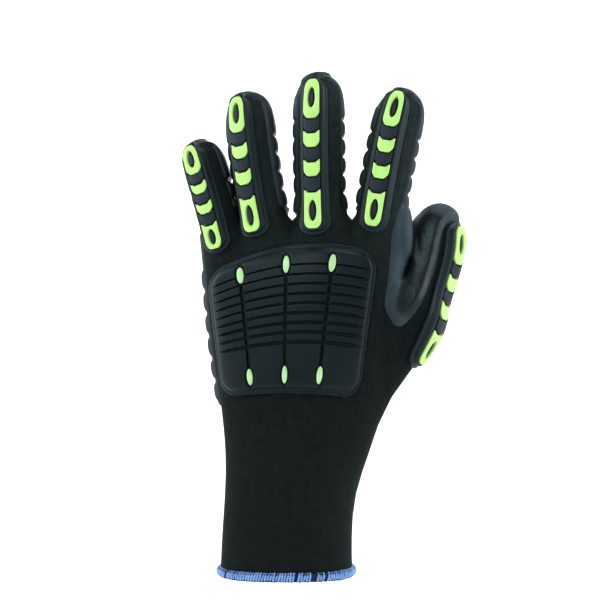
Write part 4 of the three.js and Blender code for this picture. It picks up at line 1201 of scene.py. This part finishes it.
def back_plate():
    """The plate with its grooves, slots and rings, and the six oval inlays in it."""
    corner = PLATE_CORNER
    half = PLATE_WIDE / 2
    count, first, last = PLATE_GROOVES
    grooves = np.linspace(first, last, count)
    groove_half = np.linspace(0.3, 0.55, count) / PLATE_TALL
    # rows and columns lie close together at the edges, the grooves and the slots
    fine = [0, 0.0015, 0.004, 0.008, 0.013, 0.018, 0.024, 0.03]
    fine += [0.036, 0.042, 0.05, 0.06, 0.075, 0.09, 0.105, 0.12]
    rows = set(fine) | {1 - x for x in fine} | set(np.linspace(0.12, 0.88, 110).round(4))
    for b, h in zip(grooves, groove_half):
        rows |= {round(b + s * h, 5) for s in (-1.5, -1, -0.5, 0, 0.5, 1, 1.5)}
    b = np.array(sorted(rows))[::-1]
    slot = PLATE_SLOT / half
    side = np.array([0, 0.15, 0.4, 0.8, 1.2, 1.6, 1.9, 2.2, 2.5, 2.8, 3.1, 3.5, 4.1, 5.0]) / half
    near_slot = np.array([-2.4, -1.7, -1.25, -0.95, -0.7, -0.3, 0, 0.3, 0.7, 0.95, 1.25, 1.7, 2.4]) * slot
    marks = [-1 + side, *(a + near_slot for a, _ in PLATE_COLUMNS), 1 - side[::-1]]
    columns = [marks[0]]
    lean = [np.zeros(len(side))]
    for i in range(4):
        low, high = marks[i][-1], marks[i + 1][0]
        steps = max(3, int((high - low) * half / 0.6))
        between = np.linspace(low, high, steps)[1:-1]
        leans = [PLATE_COLUMNS[j][1] if 0 <= j < 3 else 0 for j in (i - 1, i)]
        columns += [between, marks[i + 1]]
        lean += [np.linspace(leans[0], leans[1], steps)[1:-1], np.full(len(marks[i + 1]), leans[1])]
    a0, lean = np.concatenate(columns), np.concatenate(lean)
    tall = PLATE_TALL
    near = np.minimum(b, 1 - b) * tall
    narrow = np.array([rounded_half(half, corner, max(x, 0.02)) / half for x in near])
    straight = a0[None, :] + lean[None, :] * b[:, None]
    knee = 0.7
    squeezed = knee + (np.abs(straight) - knee) * (narrow[:, None] - knee) / (1 - knee)
    a = np.where(np.abs(straight) > knee, np.sign(straight) * squeezed, straight)
    bb = np.repeat(b[:, None], len(a0), 1)
    # distance from the plate's edge, rounded at its corners
    du = (1 - np.abs(a)) * half
    dv = np.minimum(bb, 1 - bb) * tall
    inside = np.minimum(du, dv)
    in_corner = (du < corner) & (dv < corner)
    inside = np.where(in_corner, corner - np.hypot(corner - du, corner - dv), inside)
    lip = PLATE_RIM
    height = np.interp(
        inside,
        [0, 0.15, 0.5, 1.1, lip - 0.8, lip - 0.35, lip, lip + 0.5, lip + 1.0, lip + 1.8],
        [1.0, 1.75, 2.15, PLATE_FLANGE, PLATE_FLANGE - 0.15, PLATE_FLANGE, 2.9, 4.0, 4.4, PLATE_HEIGHT],
    )
    # each panel between two slots swells a little
    body = smooth((inside - lip) / 3)
    knots = [-1.02, *(col for col, _ in PLATE_COLUMNS), 1.02]
    unleaned = np.repeat(a0[None, :], len(b), 0)
    for low, high in zip(knots, knots[1:]):
        t = np.clip((unleaned - low) / (high - low), 0, 1)
        height = height + PLATE_SWELL * body * np.sin(math.pi * t) ** 0.8
    depth = np.zeros_like(height)
    fade = smooth((0.93 - np.abs(unleaned)) / 0.12)
    for centre, h in zip(grooves, groove_half):
        wide = h * (0.35 + 0.65 * fade)
        near_line = smooth((1.5 * wide - np.abs(bb - centre)) / (0.9 * wide))
        depth = np.maximum(depth, PLATE_GROOVE_DEPTH * fade * near_line)
    top, foot = PLATE_OVAL_ROWS["top"], PLATE_OVAL_ROWS["bottom"]
    for col, _ in PLATE_COLUMNS:
        run = smooth((bb - top - 0.07) / 0.01) * smooth((foot - 0.045 - bb) / 0.01)
        near_line = smooth((1.25 * slot - np.abs(unleaned - col)) / (0.45 * slot))
        depth = np.maximum(depth, PLATE_SLOT_DEPTH * run * near_line)
    made = []
    for i, (col, tilt) in enumerate(PLATE_COLUMNS):
        for end, at in PLATE_OVAL_ROWS.items():
            centre = col + tilt * at
            width, length = PLATE_OVAL
            ring = PLATE_OVAL_RING
            du = (a - centre) * half
            dv = (bb - at) * tall
            out = np.hypot(du / (width / 2 + ring), dv / (length / 2 + ring))
            depth = np.maximum(depth, PLATE_RING_DEPTH * smooth((1.04 - out) / 0.12))
            loop = oval_outline(0, 0, width / half, -length / tall, 56)
            lean_by = loop[:, 1] * (tilt * PLATE_OVAL_LEAN)
            loop = np.stack([centre + loop[:, 0] + lean_by, at + loop[:, 1]], 1)
            side_name = ("left", "middle", "right")[i]
            inlay = dome_on(loop, centre, at)
            name = f"plate_inlay_{end}_{side_name}"
            piece = make_mesh(f"{name}_green", *inlay, finishes=[PALE_GREEN], crease=60)
            made.append((piece, name, "plate_inlay"))
    points, faces = slab(on_plate, a, bb, height - depth, SEAT)
    # painted shade: faces deeper than 0.75 mm take the near-black groove rubber
    deep = (depth[:-1, :-1] + depth[1:, :-1] + depth[:-1, 1:] + depth[1:, 1:]) / 4 > 0.75
    finish_of = np.zeros(len(faces), int)
    finish_of[: deep.size] = deep.ravel()
    title, finishes = "back_plate_moulded", [PLATE, GROOVE_SHADE]
    piece = make_mesh(title, points, faces, finishes=finishes, finish_of=finish_of, crease=60)
    made.append((piece, "back_plate", "plate"))
    return made


def dome_on(loop, centre, at):
    """An oval button with a domed top, set in the plate."""
    count = len(loop)
    middle = np.array([centre, at])
    high = PLATE_HEIGHT + PLATE_OVAL_PROUD
    foot = PLATE_HEIGHT - 1.9
    rings = [(1, foot), (1, high - 0.45), (0.96, high - 0.2)]
    rings += [(0.88, high), (0.6, high + 0.12), (0.3, high + 0.18)]
    loops = np.concatenate([middle + (loop - middle) * s for s, _ in rings])
    base, way = on_plate(loops[:, 0], loops[:, 1])
    points = base + way * np.repeat([h for _, h in rings], count)[:, None]
    base, way = on_plate(middle[:1], middle[1:])
    points = np.vstack([points, base + way * (high + 0.2), base + way * foot])
    faces = []
    for k in range(len(rings) - 1):
        for i in range(count):
            j = (i + 1) % count
            faces.append([k * count + i, k * count + j, (k + 1) * count + j, (k + 1) * count + i])
    tip = len(points) - 2
    top = (len(rings) - 1) * count
    faces += [[top + i, top + (i + 1) % count, tip] for i in range(count)]
    faces += [[(i + 1) % count, i, tip + 1] for i in range(count)]
    return points, faces


# Palm coating

# The line along the thumb where the coating is stretched and polished
THUMB_LINE = [(62, 139), (73, 179)]
# How far below the knitting's surface the coating's thinned edges and its underside lie
EDGE_SUNK = 0.6
COATING_SUNK = 0.9
# The part of the palm that the coating covers, and where seams divide its pads, as shares across the palm
PALM_SHARES = (-1, 0.92)
PALM_SEAMS = (-0.18, 0.42)
PALM_SHEET_FOOT = GAP + 0.6


def pads_profile(v, pads, skin, rise, flank):
    """Height along a row of pads: each rises steeply and has a slightly crowned top."""
    height = np.full_like(v, skin)
    for low, high in pads:
        across = np.clip(2 * (v - low) / (high - low) - 1, -1, 1)
        height = np.maximum(height, skin + (rise - skin) * (1 - np.abs(across) ** flank) ** 0.5)
    return height


def sleeve(name):
    """The coating over one digit: its palm side, its sides and its tip, with the pads moulded in it."""
    digit = DIGITS[name]
    radius, length = digit["radius"], digit["spine"].length
    is_thumb = name == "thumb"
    beside_guard = math.pi - (GUARD_WIDTH / 2 + 4 * GAP) / radius
    wrap = min(THUMB_PAD_WRAP if is_thumb else FINGER_PAD_WRAP, beside_guard)
    tip_from = length - TIP_PAD_LENGTH
    count = FINGER_PADS[name]
    pads = []
    for i in range(count):
        high = tip_from - (FINGER_PAD_PITCH - FINGER_PAD_LENGTH) - (count - 1 - i) * FINGER_PAD_PITCH
        pads.append((high - FINGER_PAD_LENGTH, high))
    start = pads[0][0] - 1 if is_thumb else min(pads[0][0], 0) - 4
    dome = length - radius
    stop = dome + 90 * DEGREE * radius
    v = np.linspace(start, stop, int((stop - start) / 0.55))
    w = np.linspace(-1, 1, 37)
    w = np.sign(w) * (1 - (1 - np.abs(w)) ** 1.15)
    skin = SLEEVE_FOOT + COATING_SKIN
    rise = SLEEVE_FOOT + FINGER_PAD_RISE
    tall = pads_profile(v, pads, skin, rise, 2.2)
    cap = 1 - (1 - np.clip((v - tip_from) / 3, 0, 1)) ** 2.2
    over = np.maximum(v - dome, 0) / radius
    level_tip = 1 - smooth((over - 0.2) / 0.7) if is_thumb else 1
    tall = np.maximum(tall, np.where(v > tip_from, skin + (rise - skin) * cap**0.5 * level_tip, skin))
    if is_thumb:
        spread = THUMB_ROOT_WRAP + (wrap - THUMB_ROOT_WRAP) * smooth((v - tip_from - 5) / 9)
    else:
        spread = ROOT_WRAP + (wrap - ROOT_WRAP) * smooth((v - CROTCH_ABOVE) / 5)
    spread = spread + (math.pi - spread) * smooth((over - 0.6) / 0.5)
    start_fade = smooth((v - start) / 2.5)
    edge = np.abs(w)
    side = 1 - smooth((edge - 0.15) / 0.35) if is_thumb else (1 - smooth((edge - 0.8) / 0.2)) ** 0.6
    thin = 1 - smooth((edge - 0.93) / 0.07)
    # over the tip's end the two edges meet and close
    closed = smooth((over - 1.0) / 0.2)[:, None]
    side = side[None, :] + (1 - side[None, :]) * closed
    thin = thin[None, :] + (1 - thin[None, :]) * closed
    skin_row = np.minimum(skin, tall)[:, None]
    height = skin_row * thin - EDGE_SUNK * (1 - thin) + (tall[:, None] - skin_row) * side
    little_side, thumb_side = PRESSED.get(name, (0, 0))
    around = spread[:, None] * edge[None, :]
    beside = smooth((around - 0.7) / 0.5) * (1 - closed)
    pressed = np.where(w > 0, little_side, thumb_side)[None, :] * beside
    deeper = 0.25 * pressed * (1 - np.clip((tall - skin) / (rise - skin), 0, 1))[:, None]
    height = height - pressed - deeper
    height = height * start_fade[:, None] - EDGE_SUNK * (1 - start_fade[:, None])
    wider = 1 + np.where(w > 0, WIDER.get(name, 0), 0)[None, :] * (1 - smooth(over / 0.3))[:, None]
    u = math.pi * radius + (spread * radius)[:, None] * w[None, :] * wider
    vv = np.repeat(v[:, None], len(w), 1)
    return slab(on_digit(name), u, vv, height, -COATING_SUNK)


def palm_sheet():
    """The coating over the palm: rows of pads divided by two seams, and a smooth part under the fingers."""
    lows = [COATING_LOWEST + PALM_PADS_INSET + i * PALM_PAD_PITCH for i in range(PALM_PAD_ROWS)]
    top = CROTCH_HEIGHT - COATING_BELOW_CROTCH
    z = np.arange(top, COATING_LOWEST - 0.5, -0.8)
    first, last = PALM_SHARES
    share = np.linspace(first, last, 96)
    skin = PALM_SHEET_FOOT + COATING_SKIN
    pads = [(low, low + PALM_PAD_LENGTH) for low in lows]
    tall = pads_profile(z, pads, skin, PALM_SHEET_FOOT + PALM_PAD_RISE, 2.6)
    ends = smooth((z - COATING_LOWEST + 0.5) / 1.5) * smooth((top - z) / 2)
    from_side = np.minimum(share - first, last - share)
    edge = smooth(from_side / 0.035)
    side = smooth(from_side / 0.09)
    for at in PALM_SEAMS:
        side = side * smooth((np.abs(share - at) - 0.012) / 0.02)
    low_part = np.minimum(skin, tall)
    height = low_part[:, None] * edge[None, :] + (tall - low_part)[:, None] * side[None, :]
    height = height * ends[:, None] - EDGE_SUNK * (1 - ends[:, None] * edge[None, :])
    u = np.repeat(share[None, :], len(z), 0)
    v = np.repeat(z[:, None], len(share), 1)
    return slab(on_palm, u, v, height, -COATING_SUNK)


def web_of_thumb():
    """The coating's smooth web between thumb and index, thinning out at its edge."""
    loop = np.array([[x * PALM_WIDTH, level(z)] for x, z in WEB_EDGE])
    for _ in range(3):
        after = np.roll(loop, -1, 0)
        loop = np.stack([loop * 0.75 + after * 0.25, loop * 0.25 + after * 0.75], 1).reshape(-1, 2)
    points, quads = levels[4][0], levels[4][1]
    points = limit_of(points, quads)
    outwards = normals_of(points, quads)
    x, z = points[:, 0], points[:, 2]
    a, b = loop, np.roll(loop, -1, 0)
    best = np.full(len(points), 1e9)
    inside = np.zeros(len(points), bool)
    for (ax, az), (bx, bz) in zip(a, b):
        dx, dz = bx - ax, bz - az
        t = np.clip(((x - ax) * dx + (z - az) * dz) / (dx * dx + dz * dz), 0, 1)
        best = np.minimum(best, np.hypot(x - ax - t * dx, z - az - t * dz))
        crosses = (az > z) != (bz > z)
        with np.errstate(divide="ignore", invalid="ignore"):
            inside ^= crosses & (x < (bx - ax) * (z - az) / (bz - az) + ax)
    signed = np.where(inside, best, -best)
    skin = SLEEVE_FOOT + COATING_SKIN + 0.1
    height = np.interp(signed, [-1.5, 0, 0.35, 1.5, 3.5], [-COATING_SUNK, 0.1, 0.7, 1.15, skin])
    # beside the index the web swells and fills the corner
    across = smooth((x - 56) / 3) * (1 - smooth((x - 65) / 3))
    beside_index = across * smooth((z - 158) / 8) * (1 - smooth((z - 190) / 5))
    height = height + WEB_SWELL * beside_index * smooth(signed / 2)
    used, flat = np.unique(quads[signed[quads].max(1) > -1.2], return_inverse=True)
    flat = flat.reshape(-1, 4)
    top = points[used] + outwards[used] * height[used][:, None]
    under = points[used] - outwards[used] * 0.95
    n = len(used)
    faces = flat.tolist() + (flat[:, ::-1] + n).tolist()
    pairs = np.stack([flat, np.roll(flat, -1, 1)], 2).reshape(-1, 2)
    ordered = np.sort(pairs, 1)
    _, first, count = np.unique(ordered, axis=0, return_index=True, return_counts=True)
    for p, q in pairs[first[count == 1]].tolist():
        faces.append([q, p, p + n, q + n])
    return np.vstack([top, under]), faces


def palm_coating():
    """All of the coating in one piece, with where its surface is satin with painted light and where it is
    polished.
    """
    parts = {"palm": palm_sheet(), "web": web_of_thumb()}
    parts |= {name: sleeve(name) for name in DIGITS}
    points, faces, _ = joined(parts.values())
    piece = make_mesh("palm_coating_dipped", points, faces, finishes=[COATING], crease=70)
    spots = np.array(points)
    part = np.repeat(list(parts), [len(part_points) for part_points, _ in parts.values()])
    foot, tip = np.array(THUMB_LINE)
    spot = spots[:, [0, 2]]
    along = np.clip((spot - foot) @ (tip - foot) / ((tip - foot) @ (tip - foot)), 0, 1)
    beside = np.linalg.norm(spot - foot - along[:, None] * (tip - foot), axis=1)
    on_thumb = 1 - smooth((beside - 5) / 3.5)
    beside_index = smooth((spots[:, 0] - 56) / 2) * (1 - smooth((spots[:, 2] - 191) / 4))
    # satin also marks where the coating's colour is lightened by painted light beside the index
    satin_and_painted_light = np.where(part == "web", 1 - on_thumb, np.where(part == "index", beside_index, 0))
    polished = np.where((part == "web") | (part == "thumb"), on_thumb, 0)
    for label, values in (("satin_and_painted_light", satin_and_painted_light), ("polished", polished)):
        layer = piece.data.attributes.new(label, "FLOAT", "POINT")
        layer.data.foreach_set("value", values.astype(np.float32))
    return [(piece, "palm_coating", "coating")]


# Band of overlock stitches


def rim_line():
    """The mouth of the shell as a loop of points, and its centre."""
    points, quads = limit_of(levels[3][0], levels[3][1]), levels[3][1]
    edges, _, rim = edges_of(quads)
    ring = points[np.unique(edges[rim].ravel())]
    centre = ring.mean(0)
    ring = ring[np.argsort(np.arctan2(ring[:, 1] - centre[1], ring[:, 0] - centre[0]))]
    return ring, centre


def band_places(count):
    """Even places round the mouth, and the way outwards at each."""
    ring, centre = rim_line()
    closed = np.vstack([ring, ring[:1]])
    walked = np.concatenate([[0], np.cumsum(np.linalg.norm(np.diff(closed, axis=0), axis=1))])
    at = np.arange(count) / count * walked[-1]
    spots = np.stack([np.interp(at, walked, closed[:, i]) for i in range(3)], 1)
    out = (spots - centre) * [4 / CUFF_WIDTH**2, 4 / CUFF_DEPTH**2, 0]
    return spots, unit(out)


def band_core():
    """The binding under the loops, folded round the knitting's edge."""
    inner = WALL + BAND_PLAY + BAND_INSIDE
    profile = [
        (BAND_OUTSIDE - 0.9, 0.9),
        (BAND_OUTSIDE - 0.6, 2.6),
        (BAND_OUTSIDE - 0.9, BAND_HEIGHT - 0.9),
        (0.3, BAND_HEIGHT - 0.6),
        (0.2, BAND_FLOOR),
        (-WALL - BAND_PLAY, BAND_FLOOR),
        (-WALL - BAND_PLAY, BAND_HEIGHT - 1),
        (0.7 - inner, BAND_HEIGHT - 1.1),
        (0.6 - inner, 1.0),
        (1.2 - inner, 0.6),
        (BAND_OUTSIDE - 1.4, 0.6),
    ]
    spots, out = band_places(200)
    n = len(profile)
    spots[:, 2] = 0
    points = [spot + way * r + np.array([0, 0, z]) for spot, way in zip(spots, out) for r, z in profile]
    faces = []
    for i in range(len(spots)):
        j = (i + 1) % len(spots)
        for k in range(n):
            m = (k + 1) % n
            faces.append([i * n + k, j * n + k, j * n + m, i * n + m])
    return make_mesh("band_core", points, faces, finishes=[BINDING])


def overlock_tree():
    """Loops of thread, one at each point of the line that it is given."""
    tree = bpy.data.node_groups.new("overlock loops", "GeometryNodeTree")
    face = tree.interface
    face.new_socket("Places", in_out="INPUT", socket_type="NodeSocketGeometry")
    for label, value in (("Thread Radius", 0.0006), ("Loop Reach", 0.0024), ("Loop Rise", 0.0021)):
        face.new_socket(label, in_out="INPUT", socket_type="NodeSocketFloat").default_value = value
    face.new_socket("Thread", in_out="INPUT", socket_type="NodeSocketMaterial")
    face.new_socket("Loops", in_out="OUTPUT", socket_type="NodeSocketGeometry")
    given = tree.nodes.new("NodeGroupInput").outputs
    made = tree.nodes.new("NodeGroupOutput").inputs
    circle = add_node(tree, "GeometryNodeCurvePrimitiveCircle", {"Resolution": 16, "Radius": 1.0})
    size = add_node(tree, "ShaderNodeCombineXYZ", {0: given["Loop Reach"], 1: given["Loop Rise"], 2: 1.0})
    shape = {"Geometry": circle.outputs[0], "Scale": size.outputs[0]}
    shaped = add_node(tree, "GeometryNodeTransform", shape)
    section = {"Resolution": 6, "Radius": given["Thread Radius"]}
    round_thread = add_node(tree, "GeometryNodeCurvePrimitiveCircle", section)
    curves = {"Curve": shaped.outputs[0], "Profile Curve": round_thread.outputs[0]}
    loop = add_node(tree, "GeometryNodeCurveToMesh", curves)
    turn = add_node(tree, "GeometryNodeInputNamedAttribute", {"Name": "turn"}, data_type="FLOAT_VECTOR")
    grown = add_node(tree, "GeometryNodeInputNamedAttribute", {"Name": "grown"}, data_type="FLOAT_VECTOR")
    spots = add_node(tree, "GeometryNodeMeshToPoints", {"Mesh": given["Places"]})
    copied = {"Points": spots.outputs[0], "Instance": loop.outputs[0]}
    copies = add_node(tree, "GeometryNodeInstanceOnPoints", copied)
    tree.links.new(turn.outputs["Attribute"], copies.inputs["Rotation"])
    tree.links.new(grown.outputs["Attribute"], copies.inputs["Scale"])
    real = add_node(tree, "GeometryNodeRealizeInstances", {0: copies.outputs[0]})
    soft = add_node(tree, "GeometryNodeSetShadeSmooth", {"Geometry": real.outputs[0]})
    finished = {"Geometry": soft.outputs[0], "Material": given["Thread"]}
    coloured = add_node(tree, "GeometryNodeSetMaterial", finished)
    tree.links.new(coloured.outputs[0], made[0])
    return tree


LOOPS = 138
LOOP_SLANT = 14
THREAD_RADIUS = 0.56
# Places on the band where the loops part and show the binding: degrees from the thumb's side, half width
PARTED = [(-64.9, 0.85), (-72.2, 0.7), (-75.1, 0.7), (-84.4, 0.7), (-135.3, 1.2)]


def overlock_band():
    """Loops of thread round the binding, each a little different, and the binding with them."""
    rng = np.random.default_rng(11)
    spots, out = band_places(LOOPS)
    centre = (BAND_OUTSIDE - WALL - BAND_PLAY - BAND_INSIDE) / 2
    spots = spots + out * centre
    spots[:, 2] = BAND_HEIGHT / 2
    at = np.degrees(np.arctan2(out[:, 1], out[:, 0]))
    kept = np.ones(len(spots), bool)
    for angle, wide in PARTED:
        kept &= np.abs(at - angle) > wide
    spots, out = spots[kept], out[kept]
    mesh = bpy.data.meshes.new("loop places")
    mesh.from_pydata((spots * METRE).tolist(), [], [])
    turn = mesh.attributes.new("turn", "FLOAT_VECTOR", "POINT")
    grown = mesh.attributes.new("grown", "FLOAT_VECTOR", "POINT")
    turns, sizes = [], []
    for way in out:
        slant = (LOOP_SLANT + rng.normal(0, 4)) * DEGREE
        heading = np.cross([0, 0, 1], way)
        up = np.array([0, 0, 1]) * math.cos(slant) + heading * math.sin(slant)
        normal = np.cross(way, up)
        matrix = np.stack([way, up, normal], 1)
        turns.append(tuple(Matrix(matrix.tolist()).to_euler("XYZ")))
        sizes.append((1 + rng.normal(0, 0.03), 1 + rng.normal(0, 0.05), 1))
    turn.data.foreach_set("vector", np.array(turns, np.float32).ravel())
    grown.data.foreach_set("vector", np.array(sizes, np.float32).ravel())
    places = bpy.data.objects.new("loop places", mesh)
    bpy.context.scene.collection.objects.link(places)
    tree = overlock_tree()
    modifier = places.modifiers.new("loops", "NODES")
    modifier.node_group = tree
    reach_out = (BAND_OUTSIDE + WALL + BAND_PLAY + BAND_INSIDE) / 2
    sizes = {
        "Thread Radius": THREAD_RADIUS * METRE,
        "Loop Reach": (reach_out - THREAD_RADIUS) * METRE,
        "Loop Rise": (BAND_HEIGHT / 2 - THREAD_RADIUS) * METRE,
        "Thread": THREAD,
    }
    for item in tree.interface.items_tree:
        if item.in_out == "INPUT" and item.name in sizes:
            modifier[item.identifier] = sizes[item.name]
    bpy.context.view_layer.update()
    evaluated = places.evaluated_get(bpy.context.evaluated_depsgraph_get())
    loops = bpy.data.meshes.new_from_object(evaluated)
    bpy.data.objects.remove(places)
    # the loops and the binding are one piece
    piece = bpy.data.objects.new("cuff_band_overlock", loops)
    bpy.context.scene.collection.objects.link(piece)
    core = band_core()
    with bpy.context.temp_override(active_object=piece, selected_editable_objects=[piece, core]):
        bpy.ops.object.join()
    return [(piece, "cuff_band", "overlock")]


# The pieces take their nodes' places

made = [(knit_shell(), "knit_shell", "knit")]
for digit_name in DIGITS:
    made += guard_pieces(digit_name)
made += back_plate()
made += palm_coating()
made += overlock_band()
for piece, node, slot_name in made:
    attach(piece, "root")
    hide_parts(node)


# Floor, light and camera

FLOOR_HEIGHT = -120


def floor():
    """A pale floor that curves up into a wall behind."""
    profile = [(-1500, 0), (900, 0)]
    for t in np.linspace(0.1, math.pi / 2, 12):
        profile.append((900 + 500 * math.sin(t), 500 - 500 * math.cos(t)))
    profile.append((1400, 2500))
    points = [(x, y, z + FLOOR_HEIGHT) for y, z in profile for x in (-2500, 2500)]
    faces = [[2 * i, 2 * i + 1, 2 * i + 3, 2 * i + 2] for i in range(len(profile) - 1)]
    finish, tree, bsdf = new_finish("pale floor")
    patches = noise(tree, object_place(tree), 3.0, 2.0)
    tree.links.new(mixed(tree, patches, (0.86, 0.88, 0.91), (0.9, 0.91, 0.94)), bsdf.inputs["Base Color"])
    bsdf.inputs["Roughness"].default_value = 0.9
    piece = make_mesh("studio_floor", points, faces, finishes=[finish])


def soft_light(name, place, aim, size, power, colour=(1, 1, 1)):
    light = bpy.data.lights.new(name, "AREA")
    light.shape = "RECTANGLE"
    light.size, light.size_y = size
    light.energy = power
    light.color = colour
    lamp = bpy.data.objects.new(name, light)
    lamp.location = place
    lamp.rotation_euler = (Vector(aim) - Vector(place)).to_track_quat("-Z", "Y").to_euler()
    bpy.context.scene.collection.objects.link(lamp)


def studio():
    """A pale stage, lit from the left, the right and above."""
    floor()
    middle = (0, 0, 0.13)
    soft_light("key_light", (-0.7, -1.2, 1.0), middle, (0.9, 0.9), 14)
    soft_light("side_light", (1.2, -0.3, 0.5), middle, (0.4, 1.0), 6)
    soft_light("strip_light", (1.0, -0.83, 0.25), (0.03, 0, 0.13), (0.12, 0.6), 7)
    soft_light("left_light", (-1.2, -0.1, 0.4), middle, (0.3, 0.9), 7)
    soft_light("top_light", (0.1, 0.2, 1.4), middle, (0.8, 0.4), 8)
    soft_light("wall_light_left", (-1.3, 0.2, 0.9), (-0.2, 1.4, 0.3), (1.2, 1.2), 24)
    soft_light("wall_light_right", (1.3, 0.2, 0.9), (0.2, 1.4, 0.3), (1.2, 1.2), 24)
    world = bpy.data.worlds.new("studio")
    world.use_nodes = True
    world.node_tree.nodes["Background"].inputs["Color"].default_value = (0.93, 0.95, 1, 1)
    world.node_tree.nodes["Background"].inputs["Strength"].default_value = 0.3
    bpy.context.scene.world = world
    bpy.context.scene.view_settings.view_transform = "Standard"


def camera():
    """The glove's back, seen level and from the front."""
    aim = Vector((0.0069, 0, 0.1406))
    elevation = 0.8 * DEGREE
    distance = 0.85
    lens = bpy.data.cameras.new("camera")
    lens.lens = 100
    lens.sensor_width = 36
    eye = bpy.data.objects.new("camera", lens)
    eye.location = aim + Vector((0, -math.cos(elevation), math.sin(elevation))) * distance
    eye.rotation_euler = (aim - eye.location).to_track_quat("-Z", "Y").to_euler()
    bpy.context.scene.collection.objects.link(eye)
    bpy.context.scene.camera = eye


studio()
camera()
